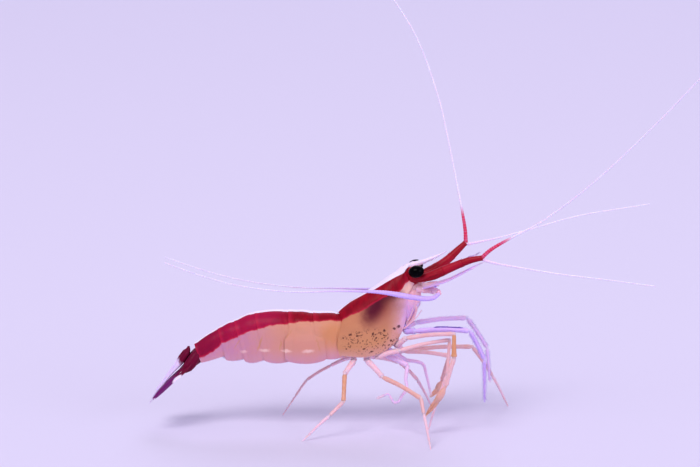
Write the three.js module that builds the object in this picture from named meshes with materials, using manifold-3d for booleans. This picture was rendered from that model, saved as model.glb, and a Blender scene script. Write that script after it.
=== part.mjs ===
// A cleaner shrimp at life size, standing on its walking legs with its feelers spread.
//
// The animal faces +X with its back up, and the plane y = 0 cuts it into its left (+Y) and right
// (-Y) halves. Sizes are millimetres. Each shell plate, limb, fan blade and feeler is one closed
// solid, and neighbours keep a gap of about 0.3 to each other.

import * as THREE from 'three';
import { mergeVertices } from 'three/addons/utils/BufferGeometryUtils.js';
import Module from 'manifold-3d';

const wasm = await Module();
wasm.setup();

// ---------------------------------------------------------------- driving dimensions

const PLATE_GAP = 0.4; // between shell plates along the back; their slanting borders stand 0.3 apart
const CARAPACE_SIDES = 22;
const PLATE_SIDES = 18;
const BLADE_SIDES = 10;
const LIMB_SIDES = 7;
const FEELER_SIDES = 6;

const ARCH = 0.15; // how far a belly plate's back rises between its two borders
const FLARE = 0.12; // how far its flanks swell there
const BACK_POWER = 2.2; // roundness of a plate's section above its middle
const BELLY_POWER = 3.2; // and below it, where the flanks hang straight

const EYE = { x: 10.15, y: 2.5, z: 25.3, long: 1.2, wide: 1.0, high: 0.97 };

const FOOT = 0.34; // half the width of a walking foot's flat

const COLOURS = {
  shell: 0xd9a878,
  crimson: 0xa81020,
  eye: 0x050507,
  limb: 0xe8a25a,
  pale: 0xe9d3e6,
  feeler: 0xf2eef8,
};

// Borders of the shell plates. Each gives the plate's highest and lowest point in the plane
// y = 0, as [x, z], and its half width.
const CARAPACE = [
  { top: [-1.8, 18.95], low: [-1.4, 12.2], half: 2.75 },
  { top: [0.0, 20.1], low: [0.3, 11.9], half: 3.0 },
  { top: [2.0, 21.4], low: [2.6, 11.9], half: 3.1 },
  { top: [4.0, 22.75], low: [4.8, 12.5], half: 3.05 },
  { top: [6.0, 24.2], low: [6.9, 14.0], half: 2.75 },
  { top: [7.5, 25.15], low: [8.2, 16.2], half: 2.25 },
  { top: [8.4, 25.75], low: [8.8, 18.6], half: 1.75 },
  { top: [9.0, 26.05], low: [9.0, 21.4], half: 1.2 },
];

const ABDOMEN = [
  { top: [-2.1, 18.45], low: [-1.8, 12.9], half: 2.5 },
  { top: [-5.4, 18.5], low: [-4.7, 12.8], half: 2.7 },
  { top: [-9.1, 18.75], low: [-8.9, 12.7], half: 2.75 },
  { top: [-14.4, 18.5], low: [-13.0, 12.6], half: 2.5 },
  { top: [-17.7, 17.25], low: [-16.1, 12.4], half: 2.15 },
  { top: [-20.2, 16.1], low: [-18.9, 12.2], half: 1.8 },
  { top: [-24.0, 14.0], low: [-22.9, 11.1], half: 1.4 },
];

// How far the lower corners of each belly plate hang below its borders.
const LOBES = [0.4, 0.9, 0.8, 0.7, 0.5, 0.15];

// The rostrum is a thin crest from the forehead to a point between the feelers: [x, top, low].
const ROSTRUM = [
  [6.6, 24.4, 23.4],
  [8.8, 26.05, 24.9],
  [10.8, 26.6, 25.55],
  [12.8, 27.25, 26.55],
  [14.9, 28.1, 27.75],
];
const ROSTRUM_HALF = 0.27;

// ---------------------------------------------------------------- shape tools

const vector = (x, y, z) => new THREE.Vector3(x, y, z);

/** Signed volume of an indexed geometry: negative when its faces point inwards. */
function signedVolume(geometry) {
  const position = geometry.getAttribute('position');
  const index = geometry.getIndex().array;
  const corner = (k) => new THREE.Vector3().fromBufferAttribute(position, index[k]);
  let volume = 0;
  for (let k = 0; k < index.length; k += 3) {
    volume += corner(k).dot(corner(k + 1).cross(corner(k + 2))) / 6;
  }
  return volume;
}

/** Closed solid through a row of rings with equal counts, with a fan over each end. */
function loft(rings) {
  const sides = rings[0].length;
  const points = rings.flat();
  const triangles = [];
  for (let i = 0; i + 1 < rings.length; i += 1) {
    for (let k = 0; k < sides; k += 1) {
      const a = i * sides + k;
      const b = i * sides + ((k + 1) % sides);
      triangles.push(a, b, a + sides, b, b + sides, a + sides);
    }
  }
  for (const [start, flip] of [[0, true], [(rings.length - 1) * sides, false]]) {
    const ring = points.slice(start, start + sides);
    const middle = ring.reduce((sum, p) => sum.add(p), vector(0, 0, 0)).divideScalar(sides);
    points.push(middle);
    for (let k = 0; k < sides; k += 1) {
      const [a, b] = [start + k, start + ((k + 1) % sides)];
      triangles.push(points.length - 1, flip ? b : a, flip ? a : b);
    }
  }
  const geometry = new THREE.BufferGeometry().setFromPoints(points);
  geometry.setIndex(triangles);
  if (signedVolume(geometry) < 0) {
    geometry.setIndex(triangles.reverse());
  }
  return geometry;
}

/** One ring of a shell plate, from its highest and lowest points and its half width. */
function plateRing({ top, low, half }, sides) {
  const middle = vector((top[0] + low[0]) / 2, 0, (top[1] + low[1]) / 2);
  const rise = vector(top[0], 0, top[1]).sub(middle);
  const power = (value, p) => Math.sign(value) * Math.abs(value) ** (2 / p);
  return Array.from({ length: sides }, (_, k) => {
    const angle = (2 * Math.PI * k) / sides;
    const roundness = Math.cos(angle) > 0 ? BACK_POWER : BELLY_POWER;
    const point = middle.clone().addScaledVector(rise, power(Math.cos(angle), roundness));
    point.y = half * power(Math.sin(angle), roundness);
    return point;
  });
}

/** Value of a list of numbers at a share from 0 to 1 of its length. */
function along(values, share) {
  const place = share * (values.length - 1);
  const i = Math.min(Math.floor(place), values.length - 2);
  return THREE.MathUtils.lerp(values[i], values[i + 1], place - i);
}

/**
 * Solid swept along points. `across` and `thick` are half sizes, spread evenly over the path, and
 * `facing` is the direction that the thickness is measured in. A foot ends level with the floor.
 */
function sweep({ path, across, thick = across, facing = vector(0, 1, 0), sides, foot = false }) {
  const lengths = [0];
  for (let i = 1; i < path.length; i += 1) {
    lengths.push(lengths[i - 1] + path[i].distanceTo(path[i - 1]));
  }
  const rings = path.map((point, i) => {
    const ahead = path[Math.min(i + 1, path.length - 1)];
    const behind = path[Math.max(i - 1, 0)];
    const level = foot && i === path.length - 1;
    const tangent = level ? vector(0, 0, -1) : ahead.clone().sub(behind).normalize();
    const wide = new THREE.Vector3().crossVectors(tangent, facing).normalize();
    const flat = new THREE.Vector3().crossVectors(wide, tangent).normalize();
    const share = lengths[i] / lengths[lengths.length - 1];
    return Array.from({ length: sides }, (_, k) => {
      const angle = (2 * Math.PI * k) / sides;
      return point.clone()
        .addScaledVector(wide, along(across, share) * Math.cos(angle))
        .addScaledVector(flat, along(thick, share) * Math.sin(angle));
    });
  });
  return loft(rings);
}

/** Points on a smooth curve through hand-placed points. */
function smoothPath(points, steps) {
  const curve = new THREE.CatmullRomCurve3(points.map((p) => vector(...p)), false, 'centripetal');
  return curve.getSpacedPoints(steps);
}

/** Points along a jointed limb: straight between its joints, and rounded at each of them. */
function jointedPath(joints, bend = 0.55) {
  const points = joints.map((p) => vector(...p));
  const path = [points[0]];
  for (let i = 1; i + 1 < points.length; i += 1) {
    const reach = (other) => {
      const step = other.clone().sub(points[i]);
      return points[i].clone().addScaledVector(step, Math.min(bend / step.length(), 0.45));
    };
    const corner = new THREE.QuadraticBezierCurve3(reach(points[i - 1]), points[i], reach(points[i + 1]));
    path.push(...corner.getPoints(2));
  }
  path.push(points[points.length - 1]);
  return path;
}

/** The same geometry on the other side of the plane y = 0, still facing outwards. */
function mirrored(geometry) {
  const copy = geometry.clone().scale(1, -1, 1);
  copy.setIndex(Array.from(copy.getIndex().array).reverse());
  return copy;
}

/** A manifold solid from a closed geometry. */
function toSolid(geometry) {
  const merged = mergeVertices(geometry.clone());
  return new wasm.Manifold(new wasm.Mesh({
    numProp: 3,
    vertProperties: new Float32Array(merged.getAttribute('position').array),
    triVerts: new Uint32Array(merged.getIndex().array),
  }));
}

/** A geometry from a manifold solid. */
function toGeometry(solid) {
  const mesh = solid.getMesh();
  const geometry = new THREE.BufferGeometry();
  geometry.setAttribute('position', new THREE.BufferAttribute(new Float32Array(mesh.vertProperties), 3));
  geometry.setIndex(Array.from(mesh.triVerts));
  return geometry;
}

// ---------------------------------------------------------------- the model

const model = new THREE.Group();

/** Add one named sub-part to the model. */
function addPart(name, geometry, colour, roughness = 0.35) {
  geometry.computeVertexNormals();
  const material = new THREE.MeshStandardMaterial({ color: colour, roughness, metalness: 0 });
  const mesh = new THREE.Mesh(geometry, material);
  mesh.name = name;
  model.add(mesh);
}

/** Add a sub-part modelled on the left side, and its mirror image on the right. */
function addPair(name, geometry, colour) {
  addPart(`${name}_left`, geometry, colour);
  addPart(`${name}_right`, mirrored(geometry), colour);
}

/** The carapace with the rostrum joined to its forehead. */
function carapace() {
  const shield = loft(CARAPACE.map((border) => plateRing(border, CARAPACE_SIDES)));
  const crest = loft(ROSTRUM.map(([x, top, low]) => (
    plateRing({ top: [x, top], low: [x, low], half: ROSTRUM_HALF }, BLADE_SIDES))));
  return toGeometry(toSolid(shield).add(toSolid(crest)));
}

/** One belly plate between two borders, short of each by half the plate gap. */
function bellyPlate(front, rear, lobe) {
  const length = Math.hypot(front.top[0] - rear.top[0], front.top[1] - rear.top[1]);
  const inset = PLATE_GAP / length;
  const blend = (a, b, t) => a.map((value, i) => THREE.MathUtils.lerp(value, b[i], t));
  return loft([0, 0.12, 0.35, 0.65, 0.88, 1].map((step) => {
    const t = THREE.MathUtils.lerp(inset / 2, 1 - inset / 2, step);
    const swell = Math.sin(Math.PI * step);
    const [topX, topZ] = blend(front.top, rear.top, t);
    const [lowX, lowZ] = blend(front.low, rear.low, t);
    return plateRing({
      top: [topX, topZ + ARCH * swell],
      low: [lowX, lowZ - lobe * Math.sqrt(swell)],
      half: THREE.MathUtils.lerp(front.half, rear.half, t) + FLARE * swell,
    }, PLATE_SIDES);
  }));
}

addPart('carapace', carapace(), COLOURS.shell);
for (let i = 0; i + 1 < ABDOMEN.length; i += 1) {
  addPart(`abdomen_${i + 1}`, bellyPlate(ABDOMEN[i], ABDOMEN[i + 1], LOBES[i]), COLOURS.shell);
}

// The tail fan, in the telson's own directions: s runs from its root to its tip, and n out of
// its back.
const FAN_ROOT = vector(-24.9, 0, 12.7);
const FAN_ANGLE = THREE.MathUtils.degToRad(53.5); // below the horizontal
const FAN_ALONG = vector(-Math.cos(FAN_ANGLE), 0, -Math.sin(FAN_ANGLE));
const FAN_BACK = vector(-Math.sin(FAN_ANGLE), 0, Math.cos(FAN_ANGLE));

/** One blade of the fan through points [s, y, n]. */
function fanBlade(points, across, thick) {
  const path = points.map(([s, y, n]) => (
    FAN_ROOT.clone().addScaledVector(FAN_ALONG, s).addScaledVector(FAN_BACK, n).add(vector(0, y, 0))));
  const curve = new THREE.CatmullRomCurve3(path, false, 'centripetal');
  return sweep({ path: curve.getSpacedPoints(7), across, thick, facing: FAN_BACK, sides: BLADE_SIDES });
}

addPart(
  'telson',
  fanBlade([[0, 0, 0], [4, 0, 0.05], [8.8, 0, 0]], [0.85, 0.95, 0.85, 0.7, 0.4], [0.6, 0.5, 0.35, 0.27, 0.25]),
  COLOURS.crimson,
);
addPair(
  'uropod_inner',
  fanBlade(
    [[0.9, 1.15, -1.1], [3, 1.7, -0.75], [6, 2.1, -0.5], [9.3, 2.3, -0.4]],
    [0.5, 0.85, 1.0, 0.95, 0.75, 0.3],
    [0.3, 0.27, 0.25, 0.25, 0.25],
  ),
  COLOURS.crimson,
);
addPair(
  'uropod_outer',
  fanBlade(
    [[0.4, 1.6, -2.0], [2.4, 2.6, -1.9], [5.5, 4.0, -1.6], [8.9, 4.8, -1.25]],
    [0.55, 0.95, 1.2, 1.25, 1.0, 0.4],
    [0.5, 0.42, 0.27, 0.25, 0.25],
  ),
  COLOURS.crimson,
);

// Swimmerets: two rows of leaves folded back under the first five belly plates.
const SWIMMERET_LENGTHS = [3.0, 3.5, 4.2, 2.8, 2.3];
const SWIMMERET_RAKE = THREE.MathUtils.degToRad(27); // below the horizontal

for (let i = 0; i < SWIMMERET_LENGTHS.length; i += 1) {
  const [front, rear] = [ABDOMEN[i], ABDOMEN[i + 1]];
  const rootX = THREE.MathUtils.lerp(front.low[0], rear.low[0], 0.3);
  const rootZ = THREE.MathUtils.lerp(front.low[1], rear.low[1], 0.3) - LOBES[i] - 0.75;
  const length = SWIMMERET_LENGTHS[i];
  const path = [0, 0.25, 0.6, 1].map((t) => vector(
    rootX - t * length * Math.cos(SWIMMERET_RAKE),
    1.0 + 0.1 * t,
    rootZ - t * length * Math.sin(SWIMMERET_RAKE) * (1 - 0.3 * t),
  ));
  addPair(
    `swimmeret_${i + 1}`,
    sweep({ path, across: [0.4, 0.8, 0.85, 0.35], thick: [0.3, 0.34, 0.3, 0.25], sides: 8 }),
    COLOURS.pale,
  );
}

// ---------------------------------------------------------------- head

const eyeball = new THREE.SphereGeometry(1, 14, 9);
eyeball.deleteAttribute('normal');
eyeball.deleteAttribute('uv');
const eye = mergeVertices(eyeball);
eye.scale(EYE.long, EYE.wide, EYE.high);
eye.translate(EYE.x, EYE.y, EYE.z);
addPair('eye', eye, COLOURS.eye);

addPair(
  'eye_stalk',
  sweep({ path: smoothPath([[9.72, 0.5, 25.12], [9.8, 0.8, 25.15], [9.9, 1.16, 25.18]], 3),
    across: [0.32, 0.36, 0.36], sides: 8, facing: vector(0, 0, 1) }),
  COLOURS.pale,
);

addPart(
  'mouthparts',
  loft([
    { top: [9.35, 22.9], low: [9.35, 17.6], half: 0.9 },
    { top: [9.8, 23.05], low: [9.75, 17.9], half: 1.3 },
    { top: [10.4, 23.0], low: [10.2, 19.0], half: 1.2 },
    { top: [10.85, 22.85], low: [10.7, 20.4], half: 0.8 },
  ].map((border) => plateRing(border, 12))),
  COLOURS.pale,
);

// The stalks that carry the four front feelers differ a little between the two sides.
addPart(
  'antennule_right',
  sweep({ path: smoothPath([[9.6, -0.95, 23.75], [12.3, -1.5, 24.4], [14.7, -1.95, 25.5],
    [18.1, -2.6, 27.0], [20.0, -2.95, 27.45]], 9),
  across: [0.42, 0.66, 0.78, 0.72, 0.66, 0.58, 0.46], sides: 9 }),
  COLOURS.crimson,
);
addPart(
  'antennule_left',
  sweep({ path: smoothPath([[9.6, 0.95, 23.75], [10.9, 1.2, 24.0], [13.3, 1.8, 25.05],
    [15.0, 2.15, 26.2], [16.5, 2.5, 27.55], [17.8, 2.75, 28.65]], 9),
  across: [0.42, 0.62, 0.7, 0.66, 0.6, 0.54, 0.46], sides: 9 }),
  COLOURS.crimson,
);

const SCALE_FACING = vector(-0.4, 0, 0.92);
addPair(
  'antenna_scale',
  sweep({ path: smoothPath([[11.75, 2.8, 22.9], [15.3, 3.7, 24.35], [19.6, 4.3, 26.7]], 6),
    across: [0.55, 1.15, 1.3, 1.15, 0.4], thick: [0.32, 0.27, 0.25, 0.25],
    facing: SCALE_FACING, sides: BLADE_SIDES }),
  COLOURS.pale,
);

addPair(
  'antenna_base',
  sweep({ path: smoothPath([[11.25, 1.1, 21.85], [12.2, 1.85, 21.95], [13.1, 2.6, 22.0], [13.5, 3.05, 21.95]], 5),
    across: [0.5, 0.62, 0.58, 0.45], sides: 8, facing: vector(0, 0, 1) }),
  COLOURS.pale,
);

// ---------------------------------------------------------------- feelers

// Whip-like feelers, from the last joint of the stalk that carries each to its tip.
const FEELERS = {
  antennule_outer_flagellum_right: {
    route: [[20.45, -3.15, 28.0], [21.6, -3.4, 28.95], [24.0, -3.9, 30.5], [29.6, -5.2, 33.9],
      [37.5, -8, 40.8], [46.5, -11.2, 50.4], [55.5, -14.5, 61.0]],
    root: 0.34,
    steps: 20,
    colour: COLOURS.crimson,
  },
  antennule_outer_flagellum_left: {
    route: [[18.0, 2.85, 29.45], [17.85, 3.0, 30.8], [17.4, 3.4, 33.6], [15.5, 5.2, 43.3],
      [13.7, 7, 51.1], [10.4, 9.2, 60.0], [6.0, 11.2, 67.0], [1.6, 13, 72.6]],
    root: 0.34,
    steps: 20,
    colour: COLOURS.crimson,
  },
  antennule_inner_flagellum_right: {
    route: [[20.7, -2.85, 27.05], [21.9, -3.05, 26.8], [25.2, -3.8, 26.3], [31.9, -5.5, 25.5],
      [39.5, -7.4, 24.9], [46.0, -9, 24.3]],
    root: 0.28,
    steps: 13,
    colour: COLOURS.feeler,
  },
  antennule_inner_flagellum_left: {
    route: [[18.7, 2.85, 28.5], [20.2, 3.0, 29.0], [23.3, 3.4, 29.6], [28.0, 4.4, 30.7],
      [35.9, 6, 32.6], [47.1, 8.6, 34.0]],
    root: 0.28,
    steps: 13,
    colour: COLOURS.feeler,
  },
  antenna_flagellum_right: {
    route: [[13.6, -3.95, 21.75], [12.9, -4.3, 21.5], [11.5, -4.4, 21.45], [9.2, -4.45, 21.75],
      [4.6, -4.55, 22.5], [-1.5, -5.2, 22.8], [-9.0, -6.7, 23.0], [-16.6, -8.2, 24.2],
      [-22.4, -9.4, 26.0], [-27.8, -10.6, 28.2]],
    root: 0.42,
    steps: 24,
    colour: COLOURS.feeler,
  },
  antenna_flagellum_left: {
    route: [[13.6, 3.95, 21.7], [12.9, 4.3, 21.35], [11.5, 4.4, 21.1], [7.0, 4.5, 21.1],
      [-1.6, 5.6, 21.1], [-9.0, 7.2, 21.0], [-16.5, 8.8, 21.7], [-23.0, 10.4, 23.0], [-29.4, 12, 24.9]],
    root: 0.42,
    steps: 24,
    colour: COLOURS.feeler,
  },
};
const FEELER_TIP = 0.25;

for (const [name, { route, root, steps, colour }] of Object.entries(FEELERS)) {
  const path = smoothPath(route, steps);
  const across = [root, THREE.MathUtils.lerp(root, FEELER_TIP, 0.6), FEELER_TIP, FEELER_TIP];
  addPart(name, sweep({ path, across, sides: FEELER_SIDES }), colour, 0.5);
}

// ---------------------------------------------------------------- limbs

// Each limb by its joints from the body outwards, and its half thickness spread along it. The
// walking legs that stand end in a flat on the floor.
const LIMBS = {
  maxilliped_right: {
    joints: [[8.6, -1.3, 15.7], [10.0, -2.1, 16.5], [18.2, -4.2, 16.85], [20.5, -4.6, 12.0],
      [20.7, -4.5, 5.4]],
    across: [0.45, 0.42, 0.38, 0.34, 0.34, 0.32, 0.25],
    colour: COLOURS.pale,
  },
  maxilliped_left: {
    joints: [[8.6, 1.3, 15.7], [10.0, 2.1, 16.3], [18.3, 4.3, 16.65], [21.5, 4.9, 11.8],
      [22.0, 4.7, 6.4]],
    across: [0.45, 0.42, 0.38, 0.34, 0.34, 0.32, 0.25],
    colour: COLOURS.pale,
  },
  leg_1_right: {
    joints: [[7.2, -1.6, 13.5], [8.6, -3.1, 15.0], [15.9, -5.5, 16.2], [15.9, -5.9, 12.6], [14.7, -6.1, 8.2]],
    across: [0.5, 0.42, 0.4, 0.42, 0.45, 0.5],
    colour: COLOURS.limb,
  },
  leg_1_left: {
    joints: [[7.2, 1.6, 13.3], [8.3, 2.5, 11.7], [15.6, 4.2, 10.6], [14.6, 7.9, 5.8]],
    across: [0.5, 0.42, 0.4, 0.42, 0.45],
    colour: COLOURS.limb,
  },
  leg_3_right: {
    joints: [[4.2, -1.9, 11.8], [7.6, -3.3, 13.1], [15.3, -4.2, 15.0], [14.9, -4.2, 9.5],
      [13.2, -4.0, 4.5], [11.9, -3.8, 0]],
    across: [0.42, 0.34, 0.32, 0.3, 0.28, FOOT],
    colour: COLOURS.limb,
    foot: true,
  },
  leg_3_left: {
    joints: [[4.3, 1.7, 11.7], [8.2, 4.5, 11.25], [19.4, 9, 11.0], [22.7, 11.5, 5.8], [25.5, 14.4, 0]],
    across: [0.42, 0.34, 0.32, 0.3, 0.28, FOOT],
    colour: COLOURS.limb,
    foot: true,
  },
  leg_4_right: {
    joints: [[2.6, -1.7, 11.2], [5.0, -4.5, 9.2], [10.8, -9, 6.9], [11.2, -10.0, 4.8], [12.2, -13.0, 0]],
    across: [0.42, 0.36, 0.36, 0.3, 0.28, FOOT],
    colour: COLOURS.limb,
    foot: true,
  },
  leg_4_left: {
    joints: [[2.6, 1.7, 11.2], [7.7, 5.2, 9.4], [10.7, 9.2, 5.6], [13.4, 12.0, 0]],
    across: [0.42, 0.36, 0.34, 0.3, FOOT],
    colour: COLOURS.limb,
    foot: true,
  },
  leg_5_right: {
    joints: [[0.6, -1.7, 11.1], [-0.8, -4.0, 9.6], [-1.0, -6.0, 5.7], [-3.1, -6.7, 3.7], [-7.3, -8.1, 0]],
    across: [0.42, 0.42, 0.42, 0.34, 0.3, FOOT],
    colour: COLOURS.limb,
    foot: true,
  },
  leg_5_left: {
    joints: [[0.6, 1.7, 11.1], [-3.0, 4.4, 9.0], [-6.8, 6.5, 6.2], [-8.6, 7.4, 3.4], [-10.7, 8.3, 0]],
    across: [0.42, 0.4, 0.38, 0.32, 0.3, FOOT],
    colour: COLOURS.limb,
    foot: true,
  },
};

for (const [name, { joints, across, colour, foot = false }] of Object.entries(LIMBS)) {
  addPart(name, sweep({ path: jointedPath(joints), across, sides: LIMB_SIDES, foot }), colour);
}

// The second legs are the supple ones: many short rings let the end of each curl.
const CURLED_LEGS = {
  leg_2_right: [[5.8, -1.3, 11.9], [8.9, -2.6, 10.6], [8.6, -3.5, 8.7], [8.7, -4.0, 7.2], [8.0, -4.2, 6.2],
    [7.5, -4.2, 5.3], [6.8, -4.0, 5.1], [6.35, -3.8, 5.7], [5.9, -3.6, 6.3], [5.2, -3.5, 6.05]],
  leg_2_left: [[5.8, 1.5, 12.2], [8.6, 2.6, 10.3], [11.3, 3.4, 9.5], [12.0, 3.7, 7.5], [12.5, 3.6, 5.4]],
};
const CURLED_HALF = [0.36, 0.3, 0.26, 0.25, 0.25];

for (const [name, route] of Object.entries(CURLED_LEGS)) {
  const path = smoothPath(route, 16);
  addPart(name, sweep({ path, across: CURLED_HALF, sides: LIMB_SIDES }), COLOURS.pale);
}

// The nippers of the first legs.
addPart(
  'claw_right',
  sweep({ path: smoothPath([[14.5, -6.12, 7.75], [13.7, -5.9, 6.4], [12.7, -5.5, 4.8], [11.7, -5.2, 3.4]], 5),
    across: [0.42, 0.6, 0.55, 0.42, 0.25], thick: [0.35, 0.45, 0.4, 0.32, 0.25], sides: 8 }),
  COLOURS.limb,
);
addPart(
  'claw_left',
  sweep({ path: smoothPath([[14.3, 7.75, 4.95], [13.8, 6.8, 4.5], [13.2, 6.0, 4.1], [12.7, 5.2, 3.8]], 5),
    across: [0.42, 0.55, 0.5, 0.4, 0.25], thick: [0.35, 0.42, 0.38, 0.3, 0.25],
    facing: vector(0.5, -0.5, 0), sides: 8 }),
  COLOURS.limb,
);

// ---------------------------------------------------------------- placing

// The origin is on the floor, under the middle of the model's box.
const extent = new THREE.Box3().setFromObject(model);
const centre = extent.getCenter(new THREE.Vector3());
model.position.set(-centre.x, -centre.y, 0);

export default model;
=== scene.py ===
"""Life-size still model of a cleaner shrimp, standing on its walking legs with its feelers spread.

Every piece is drawn in the animal's own millimetres: it faces +X with its back up, and the plane
y = 0 cuts it into its left (+Y) and right (-Y) halves. at() turns such a place into the frame's
metres. A share is a number from 0 to 1, such as how far along a line a point is.
"""

import logging
import math
import random
from collections.abc import Callable, Sequence
from dataclasses import dataclass
from enum import Enum
from functools import cache, cached_property
from typing import Protocol

import bmesh
import bpy
from mathutils import Matrix, Vector


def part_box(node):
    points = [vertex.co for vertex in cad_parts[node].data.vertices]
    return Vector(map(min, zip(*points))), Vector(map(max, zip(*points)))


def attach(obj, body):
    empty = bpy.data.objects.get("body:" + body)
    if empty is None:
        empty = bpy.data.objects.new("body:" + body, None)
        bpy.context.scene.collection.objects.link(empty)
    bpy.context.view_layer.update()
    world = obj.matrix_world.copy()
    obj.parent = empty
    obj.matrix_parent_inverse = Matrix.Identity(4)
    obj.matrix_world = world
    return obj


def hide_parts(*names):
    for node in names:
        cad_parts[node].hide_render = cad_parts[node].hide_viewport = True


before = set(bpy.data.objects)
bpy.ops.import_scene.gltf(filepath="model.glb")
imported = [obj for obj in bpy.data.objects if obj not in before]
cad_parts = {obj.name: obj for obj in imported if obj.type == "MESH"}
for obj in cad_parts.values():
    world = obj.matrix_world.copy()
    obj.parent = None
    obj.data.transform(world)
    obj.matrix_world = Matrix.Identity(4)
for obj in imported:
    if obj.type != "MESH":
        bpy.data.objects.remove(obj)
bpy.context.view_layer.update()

SEED = 11  # starts the draws that scatter the bristles
MM = 0.001  # metres in a millimetre
BODY = "root"  # the one body, as nothing on the model moves
EYE_AT = (10.15, 2.5, 25.3)  # the left eye's middle in the animal's own millimetres
AXIS_X = Vector((1, 0, 0))
AXIS_Y = Vector((0, 1, 0))
AXIS_Z = Vector((0, 0, 1))

EYE_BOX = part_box("eye_left")
SHIFT = (EYE_BOX[0] + EYE_BOX[1]) / 2 - Vector(EYE_AT) * MM

Row = tuple[float, ...]
Rows = tuple[Row, ...]
Colour = tuple[float, float, float, float]
Ring = list[Vector]
Frame = tuple[Vector, Vector]  # the directions of a section's side and of its upper side
Rule = Callable[[float], float]  # a size by the share along
Piece = bpy.types.Object
Material = bpy.types.Material
Socket = bpy.types.NodeSocket
Node = bpy.types.Node

log = logging.getLogger("shrimp")


class Side(Enum):
    """The animal's left and right, each with the sign of its y."""

    LEFT = 1
    RIGHT = -1

    @property
    def word(self) -> str:
        """The side's name as it ends a piece's name."""
        return self.name.lower()

    def turn(self, rows: Sequence[Row]) -> list[Row]:
        """Places given for the left side, turned to this one."""
        return [(x, y * self.value, z) for x, y, z in rows]


class Slot(Enum):
    """The record's material slots."""

    SHELL = "body_shell"
    TAIL = "tail_shell"
    SWIMMERET = "swimmeret"
    EYE = "eye"
    PALE = "head_pale"
    RED = "feeler_red"
    WHITE = "feeler_white"
    ORANGE_LEG = "leg_orange"
    PALE_LEG = "leg_pale"


class Mark(Enum):
    """Values kept at a skin's points, which the finishes read.

    BANDS holds the distance from the midline of the back, the white line's edge and the red
    band's edge, all in millimetres. FLANK holds the share down the flank and the share along the
    plate. TONE holds the rich colour's share, the share along the article and the distance along
    the limb. REACH holds the share along and the distance along. BLADE holds the share along and
    the share across, from -1 to 1.
    """

    BANDS = "bands"
    FLANK = "flank"
    TONE = "tone"
    REACH = "reach"
    BLADE = "blade"


# ---------------------------------------------------------------- sums and curves


def at(x: float, y: float, z: float) -> Vector:
    """The frame's point, in metres, for a place in the animal's own millimetres."""
    return Vector((x, y, z)) * MM + SHIFT


def mix(a: float, b: float, share: float) -> float:
    """The value that lies a share of the way from a to b."""
    return a + (b - a) * share


def ease(value: float, start: float, end: float) -> float:
    """Rises smoothly from 0 at start to 1 at end."""
    share = min(max((value - start) / (end - start), 0.0), 1.0)
    return share * share * (3 - 2 * share)


def hump(value: float, middle: float, width: float) -> float:
    """A smooth bump of height 1 at the middle, down to nothing a width away."""
    return 1.0 - ease(abs(value - middle), 0.0, width)


def along(values: Sequence[float], share: float) -> float:
    """Reads evenly spaced values with straight lines between them.

    Args:
        values: The values from the start to the end.
        share: How far along to read.

    Returns:
        The value there.
    """
    place = min(max(share, 0.0), 1.0) * (len(values) - 1)
    i = min(int(place), len(values) - 2)
    return mix(values[i], values[i + 1], place - i)


def stepped(pairs: Sequence[tuple[float, float]], place: float) -> float:
    """Reads pairs of a place and a value with straight lines between them.

    Args:
        pairs: The pairs, in the order of their places.
        place: Where to read.

    Returns:
        The value there, and the last value past the last place.
    """
    for (a, low), (b, high) in zip(pairs, pairs[1:]):
        if place <= b:
            return mix(low, high, max(place - a, 0) / (b - a))
    return pairs[-1][1]


def through(rows: Sequence[Row], place: float) -> Row:
    """Reads a table along a smooth curve through its rows.

    Args:
        rows: The table, with one row for each whole number from 0.
        place: Where to read, from 0 to the last row's number.

    Returns:
        The curve's values there.
    """
    last = len(rows) - 1
    i = min(max(int(place), 0), last - 1)
    f = place - i
    quad = [rows[min(max(j, 0), last)] for j in (i - 1, i, i + 1, i + 2)]
    return tuple(
        q + 0.5 * f * (r - p + f * (2 * p - 5 * q + 4 * r - s + f * (3 * (q - r) + s - p)))
        for p, q, r, s in zip(*quad)
    )


def evenly(points: Sequence[Vector], count: int) -> list[Vector]:
    """Picks points at even distances along a line.

    Args:
        points: The line's points.
        count: How many steps are wanted.

    Returns:
        One more point than there are steps.
    """
    reached = [0.0]
    for a, b in zip(points, points[1:]):
        reached.append(reached[-1] + (b - a).length)
    picked = []
    i = 0
    for k in range(count + 1):
        goal = reached[-1] * k / count
        while i < len(points) - 2 and reached[i + 1] < goal:
            i += 1
        span = reached[i + 1] - reached[i]
        picked.append(points[i].lerp(points[i + 1], (goal - reached[i]) / span))
    return picked


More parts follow.
